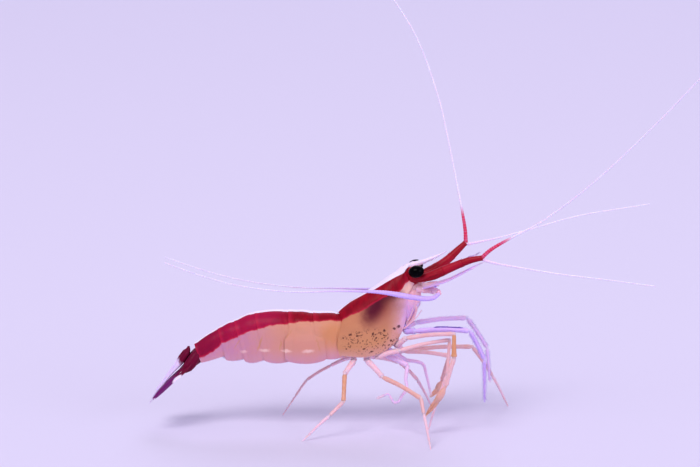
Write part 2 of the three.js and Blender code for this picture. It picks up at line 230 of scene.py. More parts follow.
@dataclass
class Course:
    """A line, kept as steps in the animal's millimetres."""

    steps: list[Vector]

    @classmethod
    def over(cls, marks: Sequence[Row], count: int, fine: int = 24) -> "Course":
        """Lays a smooth line over some points, its bends shared out by the gaps between them.

        Args:
            marks: The points that the line passes.
            count: How many even steps it is cut into.
            fine: How many cuts lie between two points before the steps are evened out.

        Returns:
            The course.
        """
        points = [Vector(m) for m in marks]
        knots = [0.0]
        for a, b in zip(points, points[1:]):
            knots.append(knots[-1] + math.sqrt((b - a).length))
        last = len(points) - 1
        pulls = []
        for i in range(last + 1):
            low, high = max(i - 1, 0), min(i + 1, last)
            pulls.append((points[high] - points[low]) / (knots[high] - knots[low]))
        line = []
        for i in range(last):
            span = knots[i + 1] - knots[i]
            for k in range(fine):
                f = k / fine
                line.append(
                    points[i] * (1 + 2 * f) * (1 - f) ** 2
                    + pulls[i] * span * f * (1 - f) ** 2
                    + points[i + 1] * f * f * (3 - 2 * f)
                    + pulls[i + 1] * span * f * f * (f - 1)
                )
        return cls(evenly([*line, points[-1]], count))

    @classmethod
    def bent(cls, foot: Vector, bend: Vector, tip: Vector, count: int) -> "Course":
        """A simple curve from a foot to a tip, which leans towards the bend between them."""
        shares = [i / count for i in range(count + 1)]
        return cls([foot.lerp(bend, f).lerp(bend.lerp(tip, f), f) for f in shares])

    def cut(self, start: float, end: float, count: int) -> "Course":
        """The stretch between two shares of this line, in a number of steps."""
        return Course([self.point(mix(start, end, k / count)) for k in range(count + 1)])

    @cached_property
    def length(self) -> float:
        """The line's length in millimetres."""
        return sum((b - a).length for a, b in zip(self.steps, self.steps[1:]))

    def share(self, i: int) -> float:
        """How far along the line a step is."""
        return i / (len(self.steps) - 1)

    def point(self, share: float) -> Vector:
        """The point a share of the way along the line."""
        place = min(max(share, 0.0), 1.0) * (len(self.steps) - 1)
        i = min(int(place), len(self.steps) - 2)
        return self.steps[i].lerp(self.steps[i + 1], place - i)

    def heading(self, i: int) -> Vector:
        """The line's direction at a step."""
        low, high = max(i - 1, 0), min(i + 1, len(self.steps) - 1)
        return (self.steps[high] - self.steps[low]).normalized()

    def frames(self, facing: Vector) -> list[Frame]:
        """Carries a direction along the line without twisting it.

        Args:
            facing: The direction that the first section's upper side looks in.

        Returns:
            For each step, the directions of the section's side and of its upper side.
        """
        up = facing
        found = []
        for i in range(len(self.steps)):
            ahead = self.heading(i)
            up = (up - ahead * up.dot(ahead)).normalized()
            found.append((ahead.cross(up), up))
        return found


def oval(
    centre: Vector, side: Vector, up: Vector, wide: float, high: float, count: int,
    power: float = 2.0,
) -> Ring:
    """Makes one closed section.

    Args:
        centre: Its middle.
        side: The direction of its width.
        up: The direction of its height.
        wide: Half its width.
        high: Half its height.
        count: How many points it has.
        power: 2 for an oval, and more for a squarer section.

    Returns:
        The section's points, from its side through its top.
    """
    ring = []
    for k in range(count):
        turn = math.tau * k / count
        c, s = math.cos(turn), math.sin(turn)
        ring.append(
            centre
            + side * (wide * math.copysign(abs(c) ** (2 / power), c))
            + up * (high * math.copysign(abs(s) ** (2 / power), s))
        )
    return ring


def outwards(frame_there: Frame, turn: float) -> Vector:
    """The direction a turn round a section, from its side towards its upper side."""
    return frame_there[0] * math.cos(turn) + frame_there[1] * math.sin(turn)


# ---------------------------------------------------------------- the workbench


def deselect() -> None:
    """Leaves nothing selected, as an operator acts on all that is."""
    bpy.ops.object.select_all(action="DESELECT")


def pick(*pieces: Piece) -> None:
    """Selects some pieces alone, the first of them active.

    Args:
        *pieces: The pieces.
    """
    deselect()
    for piece in pieces:
        piece.select_set(True)
    bpy.context.view_layer.objects.active = pieces[0]


def rename(piece: Piece, name: str) -> None:
    """Gives a piece and its mesh one name."""
    piece.name = name
    piece.data.name = name


def lay_ring(piece: Piece, ring: Ring) -> None:
    """Moves the newest ring of a skin in edit mode to its place.

    Args:
        piece: The skin.
        ring: Where its points go, in millimetres.
    """
    skin = bmesh.from_edit_mesh(piece.data)
    skin.verts.ensure_lookup_table()
    for vert, point in zip(skin.verts[-len(ring) :], ring):
        vert.co = point * MM + SHIFT
    bmesh.update_edit_mesh(piece.data, loop_triangles=False, destructive=False)


def select_edges(piece: Piece, points: Sequence[int]) -> None:
    """Selects just the edges of a skin in edit mode that lie between some of its points.

    Args:
        piece: The skin.
        points: The points' numbers.
    """
    bpy.ops.mesh.select_all(action="DESELECT")
    skin = bmesh.from_edit_mesh(piece.data)
    skin.verts.ensure_lookup_table()
    chosen = {skin.verts[i] for i in points}
    for edge in skin.edges:
        if set(edge.verts) <= chosen:
            edge.select_set(True)
    bmesh.update_edit_mesh(piece.data)


def faces_in(piece: Piece, rings: Sequence[Ring]) -> bool:
    """Finds whether a sheet that arches over something has its faces on the wrong side.

    Args:
        piece: The sheet, in edit mode.
        rings: The rings that it was drawn through.

    Returns:
        Whether most of its area looks inwards.
    """
    skin = bmesh.from_edit_mesh(piece.data)
    skin.normal_update()
    middle = sum((p for ring in rings for p in ring), Vector()) / sum(map(len, rings))
    middle = middle * MM + SHIFT
    return sum((f.calc_center_median() - middle).dot(f.normal) * f.calc_area() for f in skin.faces) < 0


def settle_origin(piece: Piece) -> None:
    """Puts a piece's own origin at the frame's, with its place in its mesh."""
    piece.data.transform(piece.matrix_world)
    piece.matrix_world = Matrix.Identity(4)


def loft(name: str, rings: Sequence[Ring], closed: bool = True) -> Piece:
    """Draws a skin through rings of points, each extruded from the one before it.

    Args:
        name: The piece's name.
        rings: The rings, in the animal's millimetres, all with as many points.
        closed: Whether the rings are closed and the ends filled. An open skin is a sheet.

    Returns:
        The piece, with its faces pointing out.
    """
    deselect()
    sides = len(rings[0])
    bpy.ops.mesh.primitive_circle_add(vertices=sides, radius=MM, enter_editmode=True)
    piece = bpy.context.object
    bpy.ops.mesh.select_mode(type="EDGE")
    if not closed:
        select_edges(piece, (0, sides - 1))
        bpy.ops.mesh.delete(type="EDGE")
        bpy.ops.mesh.select_all(action="SELECT")
    lay_ring(piece, rings[0])
    for ring in rings[1:]:
        bpy.ops.mesh.extrude_edges_move()
        lay_ring(piece, ring)
    if closed:
        bpy.ops.mesh.edge_face_add()
        select_edges(piece, range(sides))
        bpy.ops.mesh.edge_face_add()
    bpy.ops.mesh.select_all(action="SELECT")
    if closed:
        bpy.ops.mesh.normals_make_consistent(inside=False)
    elif faces_in(piece, rings):
        bpy.ops.mesh.flip_normals()
    bpy.ops.object.mode_set(mode="OBJECT")
    rename(piece, name)
    settle_origin(piece)
    return piece


def thicken(piece: Piece, wall: float) -> None:
    """Gives a sheet a wall, grown inwards.

    Args:
        piece: The sheet.
        wall: The wall's thickness in millimetres.
    """
    pick(piece)
    solid = piece.modifiers.new("Wall", "SOLIDIFY")
    solid.thickness = wall * MM
    solid.offset = -1.0
    solid.use_rim = True
    solid.use_even_offset = False
    bpy.ops.object.modifier_apply(modifier=solid.name)


def join(name: str, parts: Sequence[Piece]) -> Piece:
    """Joins pieces into one.

    Args:
        name: The new piece's name.
        parts: The pieces.

    Returns:
        The new piece.
    """
    pick(*parts)
    bpy.ops.object.join()
    joined = bpy.context.view_layer.objects.active
    rename(joined, name)
    return joined


def mark(piece: Piece, kind: Mark, rows: Sequence[Row]) -> None:
    """Keeps three values at each point of a skin, in the order of its rings."""
    kept = piece.data.attributes.new(kind.value, "FLOAT_VECTOR", "POINT")
    kept.data.foreach_set("vector", [value for row in rows for value in row])


def trim_to_floor(piece: Piece) -> None:
    """Cuts off what is below the floor and closes the cut with a flat.

    Args:
        piece: The piece to trim.
    """
    pick(piece)
    bpy.ops.object.mode_set(mode="EDIT")
    bpy.ops.mesh.select_all(action="SELECT")
    bpy.ops.mesh.bisect(
        plane_co=(0, 0, 0), plane_no=(0, 0, 1), use_fill=True, clear_inner=True, threshold=1e-6
    )
    bpy.ops.object.mode_set(mode="OBJECT")


def keep(piece: Piece, material: Material, slot: Slot, *nodes: str, angle: float = 40.0) -> None:
    """Dresses a finished piece and fixes it to the frame.

    Args:
        piece: The finished piece.
        material: Its finish.
        slot: The record's slot for that finish; not used.
        *nodes: The solids that it stands for.
        angle: Edges sharper than this, in degrees, stay sharp.
    """
    pick(piece)
    bpy.ops.object.shade_smooth_by_angle(angle=math.radians(angle))
    piece.data.materials.clear()
    piece.data.materials.append(material)
    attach(piece, BODY)
    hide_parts(*nodes)
    log.info("%s: %d faces of %s", piece.name, len(piece.data.polygons), material.name)


# ---------------------------------------------------------------- bristles


@dataclass(frozen=True)
class Bristle:
    """One bristle, from its root to its tip.

    The sag is how far its middle is off the straight line, and the place is where its root is
    on an unwrap of the skin that it grows from, from 0 to 1 each way.
    """

    root: Vector
    tip: Vector
    sag: Vector
    width: float  # half its width at the root
    place: tuple[float, float]


BRISTLE_RINGS = ((0.0, 1.0), (0.35, 0.8), (0.7, 0.5), (1.0, 0.14))  # height and width of each
BRISTLE_SIDES = 4
FINE_HAIR = 0.018  # half the width of the thinnest bristles
PATCH = 0.0015  # half the width of a bristle's patch on the unwrap
SPIRAL = 2.4  # radians from one hair to the next round a limb


@cache
def bristle_shape() -> tuple[list[Row], list[tuple[int, ...]]]:
    """Models one upright bristle, whose points and faces are the pattern for all.

    Returns:
        Its points, in shares of its half width and of its height, and its faces.
    """
    rings = [
        oval(Vector((0, 0, high)), AXIS_X, AXIS_Y, wide, wide, BRISTLE_SIDES)
        for high, wide in BRISTLE_RINGS
    ]
    pattern = loft("bristle_pattern", rings)
    points = [tuple((vert.co - SHIFT) / MM) for vert in pattern.data.vertices]
    faces = [tuple(face.vertices) for face in pattern.data.polygons]
    bpy.data.objects.remove(pattern)
    return points, faces


def plant(name: str, bristles: Sequence[Bristle]) -> Piece:
    """Makes one mesh of many bent bristles, with an unwrap that follows the skin's.

    Args:
        name: The piece's name.
        bristles: The bristles, in the animal's millimetres.

    Returns:
        The piece.
    """
    points, faces = bristle_shape()
    verts, polygons, patches = [], [], []
    for b in bristles:
        base = len(verts)
        bend = (b.root + b.tip) / 2 + b.sag
        ahead = (b.tip - b.root).normalized()
        side = ahead.orthogonal().normalized()
        up = ahead.cross(side)
        for x, y, high in points:
            spine = b.root.lerp(bend, high).lerp(bend.lerp(b.tip, high), high)
            verts.append((spine + (side * x + up * y) * b.width) * MM + SHIFT)
        for face in faces:
            polygons.append(tuple(base + i for i in face))
            for i in face:
                patches += (b.place[0] + points[i][0] * PATCH, b.place[1] + points[i][1] * PATCH)
    mesh = bpy.data.meshes.new(name)
    mesh.from_pydata(verts, [], polygons)
    mesh.uv_layers.new(name="OFBake").data.foreach_set("uv", patches)
    piece = bpy.data.objects.new(name, mesh)
    bpy.context.scene.collection.objects.link(piece)
    return piece


# ---------------------------------------------------------------- tubes, spines and blades


def tube(
    name: str, course: Course, width: Rule, sides: int = 16, facing: Vector = AXIS_Z,
    flat: float = 1.0, power: float = 2.0, marks: Callable[[float], Row] | None = None,
    kind: Mark = Mark.TONE,
) -> Piece:
    """Draws a round or flattened tube along a course, and marks it for its finish.

    Args:
        name: The piece's name.
        course: Its middle line.
        width: Half its width, by the share along it.
        sides: How many points a section has.
        facing: The direction that its first section's upper side looks in.
        flat: Its height as a share of its width.
        power: 2 for an oval section, and more for a squarer one.
        marks: The values to keep at its points, by the share along, or none for plain values.
        kind: What those values are.

    Returns:
        The tube.
    """
    rings, rows = [], []
    for i, (side, up) in enumerate(course.frames(facing)):
        share = course.share(i)
        wide = width(share)
        rings.append(oval(course.steps[i], side, up, wide, wide * flat, sides, power))
        rows += [marks(share) if marks else (0.5, 0.5, 0)] * sides
    skin = loft(name, rings)
    mark(skin, kind, rows)
    return skin


def thorn(
    name: str, foot: Vector, bend: Vector, tip: Vector, width: float, flat: float = 1.0,
    tone: float = 0.5, rings: int = 9, sides: int = 8,
) -> Piece:
    """Draws one curved spine or tooth.

    Args:
        name: Its name.
        foot: The middle of its foot.
        bend: The point that its curve leans towards.
        tip: Its tip.
        width: Half its width at the foot.
        flat: Its thickness across y as a share of its width.
        tone: The rich colour's share.
        rings: How many sections it has.
        sides: How many points a section has.

    Returns:
        The spine.
    """
    return tube(
        name, Course.bent(foot, bend, tip, rings), lambda share: width * max(1 - share, 0.04) ** 0.8,
        sides, AXIS_Y, flat, marks=lambda _: (tone, 0.5, 0),
    )


@dataclass
class Blade:
    """A thin leaf along a course, such as a tail blade, an antenna's scale or a swimming leaf."""

    course: Course
    facing: Vector
    half: Rule
    thick: Rule
    cup: float = 0.0  # how far its edges stand above its middle, as a share of its half width
    keel: float = 0.0  # height of the ridge along its middle, in millimetres
    sides: int = 32
    flip: int = 1  # -1 marks the shares across it the other way round
    bluntness: float = 0.8  # how full its section is towards its edges
    ridge: float = 0.22  # the share of its half width that the ridge covers
    bristle_spread: float = 0.55  # how far its bristles stand out from its own direction

    @cached_property
    def frames(self) -> list[Frame]:
        """The directions of its side and upper face, at each step."""
        return self.course.frames(self.facing)

    def section(self, i: int) -> tuple[Vector, Vector, Vector, float, float]:
        """The middle, side, upper direction, half width and half thickness at a step."""
        share = self.course.share(i)
        return self.course.steps[i], *self.frames[i], self.half(share), self.thick(share)

    def edge(self, share: float, across: float) -> Vector:
        """A point on the leaf, by the share along it and from -1 to 1 across it."""
        middle, side, up, half, _ = self.section(round(share * (len(self.course.steps) - 1)))
        return middle + side * half * across + up * self.cup * half * across**2

    def build(self, name: str) -> Piece:
        """Draws the leaf, and marks the shares along and across it.

        Args:
            name: The piece's name.

        Returns:
            The leaf.
        """
        rings, rows = [], []
        for i in range(len(self.course.steps)):
            middle, side, up, half, thick = self.section(i)
            ring = []
            for k in range(self.sides):
                turn = math.tau * k / self.sides
                across = math.cos(turn)
                upper = math.copysign(abs(math.sin(turn)) ** self.bluntness, math.sin(turn))
                ridge = self.keel * max(1 - abs(across) / self.ridge, 0) if upper > 0 else 0
                lift = upper * thick + ridge + self.cup * half * across**2
                ring.append(middle + side * half * across + up * lift)
                rows.append((self.course.share(i), across * self.flip, 0))
            rings.append(ring)
        leaf = loft(name, rings)
        mark(leaf, Mark.BLADE, rows)
        return leaf

    def fringe(
        self, count: int, length: float, start: float, end: bool = True, width: float = 0.03,
        sides: Sequence[int] = (-1, 1),
    ) -> list[Bristle]:
        """Grows a feathery fringe along the leaf's edges and round its end.

        Args:
            count: How many bristles on each edge.
            length: Their length in millimetres.
            start: The share along at which the fringe starts.
            end: Whether the leaf's end has bristles too.
            width: Half the width of a bristle's root.
            sides: Which edges have them.

        Returns:
            The bristles.
        """
        grown = []
        last = len(self.course.steps) - 1
        for sign in sides:
            for k in range(count):
                share = mix(start, 0.995, (k + 0.5) / count)
                i = min(round(share * last), last - 1)
                out = self.frames[i][0] * sign
                lean = mix(self.bristle_spread, 0.25, ease(share, 0.7, 1.0))
                root = self.edge(share, sign * 0.96)
                way = (self.course.heading(i) + out * lean).normalized()
                tip = root + way * length * random.uniform(0.85, 1.1)
                sag = out * length * 0.05 + self.frames[i][1] * random.uniform(-0.03, 0.03)
                grown.append(Bristle(root, tip, sag, width, (share, 0.5 + 0.45 * sign)))
        for k in range(count // 3 if end else 0):
            across = mix(-0.8, 0.8, (k + 0.5) / (count // 3))
            root = self.edge(1.0, across)
            way = (self.course.heading(last) + self.frames[last][0] * across * 0.35).normalized()
            tip = root + way * length * random.uniform(0.9, 1.15)
            grown.append(Bristle(root, tip, Vector(), width, (0.995, 0.5 + 0.4 * across)))
        return grown


def leaf_outline(widest: float, at_root: float, point: float) -> Rule:
    """An outline for a leaf with a round end.

    Args:
        widest: Its half width at the widest.
        at_root: Its half width at the root, as a share of that.
        point: How slender its end is: 0.5 is half a circle, and more is more pointed.

    Returns:
        The half width by the share along.
    """

    def half(share: float) -> float:
        """The outline's half width there."""
        swell = at_root + (1 - at_root) * math.sin(min(share / 0.62, 1.0) * math.pi / 2)
        taper = max(1 - (max(share - 0.55, 0) / 0.45) ** 2.2, 0.0) ** point
        return max(widest * swell * taper, 0.02)

    return half


def even(*values: float) -> Rule:
    """A rule that reads evenly spaced values with straight lines between them."""
    return lambda share: along(values, share)


# ---------------------------------------------------------------- wiring finishes


def tint(code: int) -> Colour:
    """A colour, given as one hexadecimal number of red, green and blue, as linear light."""
    parts = [((code >> shift) & 255) / 255 for shift in (16, 8, 0)]
    red, green, blue = (p / 12.92 if p < 0.04045 else ((p + 0.055) / 1.055) ** 2.4 for p in parts)
    return red, green, blue, 1.0


@dataclass(frozen=True)
class Signal:
    """A value that changes over a surface, so that a finish reads as plain sums."""

    graph: "Graph"
    socket: Socket

    def sum(self, operation: str, *values: object) -> "Signal":
        """Works out one sum of numbers or vectors, as this value is.

        Args:
            operation: The sum's name in a maths node.
            *values: What goes into it.

        Returns:
            The result.
        """
        kind = "Vector" if self.socket.type == "VECTOR" else ""
        made = self.graph.node(f"ShaderNode{kind}Math", operation=operation)
        for socket, value in zip(made.inputs, values):
            self.graph.feed(socket, value)
        plain = operation == "LENGTH" or not kind
        return Signal(self.graph, made.outputs["Value" if plain else "Vector"])

    def __add__(self, other: object) -> "Signal":
        """The sum."""
        return self.sum("ADD", self, other)

    def __sub__(self, other: object) -> "Signal":
        """The difference."""
        return self.sum("SUBTRACT", self, other)

    def __rsub__(self, other: object) -> "Signal":
        """The difference from a plain number."""
        return self.sum("SUBTRACT", other, self)

    def __mul__(self, other: object) -> "Signal":
        """The product."""
        return self.sum("MULTIPLY", self, other)

    def __truediv__(self, other: object) -> "Signal":
        """The quotient."""
        return self.sum("DIVIDE", self, other)

    def __abs__(self) -> "Signal":
        """The value without its sign."""
        return self.sum("ABSOLUTE", self)

    def length(self) -> "Signal":
        """The vector's length."""
        return self.sum("LENGTH", self)

    def rise(self, start: object, end: object) -> "Signal":
        """Rises smoothly from 0 to 1 as the value goes from start to end.

        Args:
            start: The value at which the rise starts.
            end: The value at which it ends, which may be the lower one.

        Returns:
            The share risen.
        """
        made = self.graph.node("ShaderNodeMapRange", interpolation_type="SMOOTHSTEP")
        for name, value in (("Value", self), ("From Min", start), ("From Max", end)):
            self.graph.feed(made.inputs[name], value)
        return Signal(self.graph, made.outputs["Result"])

    def parts(self) -> list["Signal"]:
        """The vector's three numbers."""
        made = self.graph.node("ShaderNodeSeparateXYZ")
        self.graph.feed(made.inputs[0], self)
        return [Signal(self.graph, socket) for socket in made.outputs]


@dataclass
class Graph:
    """A node tree that is being wired up. Values may be numbers, colours or signals."""

    tree: bpy.types.NodeTree

    def node(self, kind: str, **settings: object) -> Node:
        """Adds a node.

        Args:
            kind: Its type.
            **settings: Its own settings.

        Returns:
            The node.
        """
        made = self.tree.nodes.new(kind)
        for key, value in settings.items():
            setattr(made, key, value)
        return made

    def feed(self, socket: Socket, value: object) -> None:
        """Gives a socket a value, or links it to a signal.

        Args:
            socket: The socket.
            value: The value or signal.
        """
        if isinstance(value, Signal):
            self.tree.links.new(value.socket, socket)
        else:
            socket.default_value = value

    def texture(self, kind: str, output: str, **values: object) -> Signal:
        """Adds a texture.

        Args:
            kind: Its type.
            output: The output that is wanted.
            **values: Its values by input name.

        Returns:
            That output.
        """
        made = self.node("ShaderNodeTex" + kind)
        for name, value in values.items():
            self.feed(made.inputs[name], value)
        return Signal(self, made.outputs[output])

    def place(self) -> Signal:
        """The point's place in the animal's own millimetres."""
        return (self.texture("Coord", "Object") - tuple(SHIFT)) * (1 / MM, 1 / MM, 1 / MM)

    def marks(self, kind: Mark) -> list[Signal]:
        """The three values kept at the skin's points."""
        made = self.node("ShaderNodeAttribute", attribute_type="GEOMETRY", attribute_name=kind.value)
        return Signal(self, made.outputs["Vector"]).parts()

    def pair(self, x: object, z: object) -> Signal:
        """Makes a vector of two numbers, with nothing between them.

        Args:
            x: The first.
            z: The last.

        Returns:
            The vector.
        """
        made = self.node("ShaderNodeCombineXYZ")
        self.feed(made.inputs["X"], x)
        self.feed(made.inputs["Z"], z)
        return Signal(self, made.outputs[0])

    def noise(self, place: Signal, scale: object, detail: float = 3.0) -> Signal:
        """Soft noise of about 0.5, whose grains are a millimetre across at scale 1."""
        return self.texture("Noise", "Fac", Vector=place, Scale=scale, Detail=detail)

    def sway(self, place: Signal, scale: float, detail: float, reach: float) -> Signal:
        """Noise about 0, which swings through a reach in all."""
        return (self.noise(place, scale, detail) - 0.5) * reach

    def cells(self, place: Signal, scale: object) -> Signal:
        """The distance to the nearest of many scattered points."""
        return self.texture("Voronoi", "Distance", Vector=place, Scale=scale)

    def coats(self, under: object, *coats: tuple[object, object]) -> object:
        """Lays colours over one another in turn.

        Args:
            under: The colour beneath.
            *coats: Each coat's share, from 0 to 1, and its colour.

        Returns:
            The colour on top.
        """
        for share, colour in coats:
            made = self.node("ShaderNodeMix", data_type="RGBA", clamp_factor=True)
            self.feed(made.inputs["Factor"], share)
            self.feed(made.inputs[6], under)
            self.feed(made.inputs[7], colour)
            under = Signal(self, made.outputs[2])
        return under

    def use(self, effect: "Effect", **values: object) -> dict[str, Signal]:
        """Places a shared effect with this finish's own values.

        Args:
            effect: The effect.
            **values: Its values by input name.

        Returns:
            What it makes, by output name.
        """
        made = self.node("ShaderNodeGroup", node_tree=effect.tree)
        for key, value in values.items():
            self.feed(made.inputs[key], value)
        return {socket.name: Signal(self, socket) for socket in made.outputs}

    def bump(self, height: Signal, distance: float, strength: float) -> Signal:
        """Turns a height into a normal.

        Args:
            height: The height, in shares of the distance.
            distance: The highest, in millimetres.
            strength: How much of it shows.

        Returns:
            The normal.
        """
        made = self.node("ShaderNodeBump")
        self.feed(made.inputs["Height"], height)
        self.feed(made.inputs["Distance"], distance * MM)
        self.feed(made.inputs["Strength"], strength)
        return Signal(self, made.outputs[0])


@dataclass
class Effect:
    """A shared node group with named inputs and outputs, built when it is first used."""

    name: str
    wire: Callable[..., dict[str, Signal]]
    inputs: dict[str, object]  # each input's usual value

    @cached_property
    def tree(self) -> bpy.types.NodeTree:
        """The node group."""
        tree = bpy.data.node_groups.new(self.name, "ShaderNodeTree")
        graph = Graph(tree)
        source = graph.node("NodeGroupInput")
        sink = graph.node("NodeGroupOutput")
        for name, value in self.inputs.items():
            kind = "Vector" if isinstance(value, tuple) else "Float"
            made = tree.interface.new_socket(name=name, in_out="INPUT", socket_type="NodeSocket" + kind)
            made.default_value = value
        given = [Signal(graph, source.outputs[name]) for name in self.inputs]
        for name, value in self.wire(graph, *given).items():
            tree.interface.new_socket(name=name, in_out="OUTPUT", socket_type="NodeSocketFloat")
            graph.feed(sink.inputs[name], value)
        return tree


def wire_spot(
    g: Graph, place: Signal, middle: Signal, squeeze: Signal, lean: Signal, core: Signal
) -> dict[str, Signal]:
    """A soft oval in the plane of x and z, the same on the left and right.

    Args:
        g: The effect's graph.
        place: Where the surface is.
        middle: The oval's middle.
        squeeze: One over its half width and height.
        lean: How far its top stands forward of its foot.
        core: The share of it that is full.

    Returns:
        Its mask.
    """
    x, _, z = (place - middle).parts()
    away = (g.pair(x - lean * z, z) * squeeze).length()
    return {"Mask": 1.0 - away.rise(core, 1.0)}


def wire_grain(g: Graph, place: Signal, scale: Signal) -> dict[str, Signal]:
    """The fine grain of a wet shell.

    Args:
        g: The effect's graph.
        place: Where the surface is.
        scale: How many grains there are in a millimetre.

    Returns:
        A height for its bump, and a mottle for its colour.
    """
    broad = g.noise(place, scale * 0.18, 2.0)
    fine = g.noise(place, scale, 4.0)
    pits = g.cells(place, scale * 1.6).rise(0.05, 0.3)
    return {"Height": fine * 0.6 + pits * 0.4, "Mottle": (broad + fine) * 0.5}


def wire_rings(g: Graph, distance: Signal, pitch: Signal) -> dict[str, Signal]:
    """Fine rings along a limb or feeler.

    Args:
        g: The effect's graph.
        distance: The distance along.
        pitch: The distance from ring to ring.

    Returns:
        A height, and a thin line at each joint.
    """
    turn = distance / pitch
    middle = abs(turn.sum("FRACT", turn) - 0.5)
    return {"Height": 1.0 - middle.rise(0.25, 0.5), "Line": middle.rise(0.36, 0.5)}


def wire_specks(g: Graph, place: Signal, scale: Signal, size: Signal) -> dict[str, Signal]:
    """Small dark specks, thick in some places and rare in others.

    Args:
        g: The effect's graph.
        place: Where the surface is.
        scale: How close the specks are.
        size: How large they are.

    Returns:
        Their mask.
    """
    distance = g.cells(place, scale)
    patchy = g.noise(place, scale * 0.45, 1.0).rise(0.3, 0.52)
    reach = size * (patchy + 0.001)
    return {"Mask": 1.0 - distance.rise(reach * 0.5, reach)}


NOWHERE = (0.0, 0.0, 0.0)
SOFT_SPOT = Effect("soft_spot", wire_spot, {
    "Place": NOWHERE, "Middle": NOWHERE, "Squeeze": (1.0, 0.0, 1.0), "Lean": 0.0, "Core": 0.4,
})
WET_GRAIN = Effect("wet_grain", wire_grain, {"Place": NOWHERE, "Scale": 4.0})
JOINT_RINGS = Effect("joint_rings", wire_rings, {"Distance": 0.0, "Pitch": 0.3})
SPECKS = Effect("scattered_specks", wire_specks, {"Place": NOWHERE, "Scale": 2.0, "Size": 0.16})


# ---------------------------------------------------------------- finishes


WHITE = tint(0xF3E4FF)
CRIMSON = tint(0x9A0622)
CRIMSON_DEEP = tint(0x84061F)
CRIMSON_LIGHT = tint(0xD02348)
RASPBERRY = tint(0xB01650)
MAROON = tint(0x6C1C68)
TAIL_RED = tint(0x68042E)
CLEAR = tint(0xE6D2FA)
SPECK = tint(0x3A1C26)
SKIN_RED = (1.0, 0.35, 0.22)  # how far red, green and blue light spread under a shell


@dataclass(frozen=True)
class Spot:
    """A soft oval of colour in the plane of x and z, in the units of the pattern it lies in.

    The lean is how far its top stands forward of its foot for each unit of height, and the core
    is the share of it that has the full colour.
    """

    x: float
    z: float
    wide: float
    high: float
    colour: Colour
    lean: float = 0.0
    core: float = 0.3
    depth: float = 1.0

    def coat(self, g: Graph, place: Signal) -> tuple[Signal, Colour]:
        """Lays the spot in a pattern.

        Args:
            g: The finish's graph.
            place: Where the surface is in the pattern.

        Returns:
            The spot's share there, and its colour.
        """
        spot = g.use(
            SOFT_SPOT, Place=place, Middle=(self.x, 0, self.z),
            Squeeze=(1 / self.wide, 0, 1 / self.high), Lean=self.lean, Core=self.core,
        )
        return spot["Mask"] * self.depth, self.colour


@dataclass(frozen=True)
class Wetness:
    """How a surface takes light: its gloss, its clear coat and how far light goes into it."""

    roughness: float = 0.42
    coat: float = 0.03
    depth: float = 0.1
    reach: float = 0.5  # in millimetres
    gloss: float = 0.08

    def sockets(self) -> dict[str, object]:
        """Gives the shader what it needs for it.

        Returns:
            The values by socket name.
        """
        return {
            "Roughness": self.roughness,
            "IOR": 1.42,
            "Specular IOR Level": self.gloss,
            "Coat Weight": self.coat,
            "Coat Roughness": 0.2,
            "Subsurface Weight": self.depth,
            "Subsurface Radius": SKIN_RED,
            "Subsurface Scale": self.reach * MM,
        }


@dataclass(frozen=True)
class Finish:
    """A named finish, which becomes a material."""

    name: str

    def wire(self, g: Graph) -> dict[str, object]:
        """Wires the finish and gives the shader's values by socket name."""
        raise NotImplementedError

    def make(self) -> Material:
        """Makes the finish's material from one shader.

        Returns:
            The material.
        """
        material = bpy.data.materials.new(self.name)
        material.use_nodes = True
        material.node_tree.nodes.clear()
        graph = Graph(material.node_tree)
        shader = graph.node("ShaderNodeBsdfPrincipled")
        for key, value in self.wire(graph).items():
            graph.feed(shader.inputs[key], value)
        surface = graph.node("ShaderNodeOutputMaterial")
        graph.feed(surface.inputs["Surface"], Signal(graph, shader.outputs["BSDF"]))
        return material


@dataclass(frozen=True)
class MattFinish(Finish):
    """One plain matt colour."""

    colour: Colour

    def wire(self, g: Graph) -> dict[str, object]:
        """The shader's values."""
        return {"Base Color": self.colour, "Roughness": 0.9}


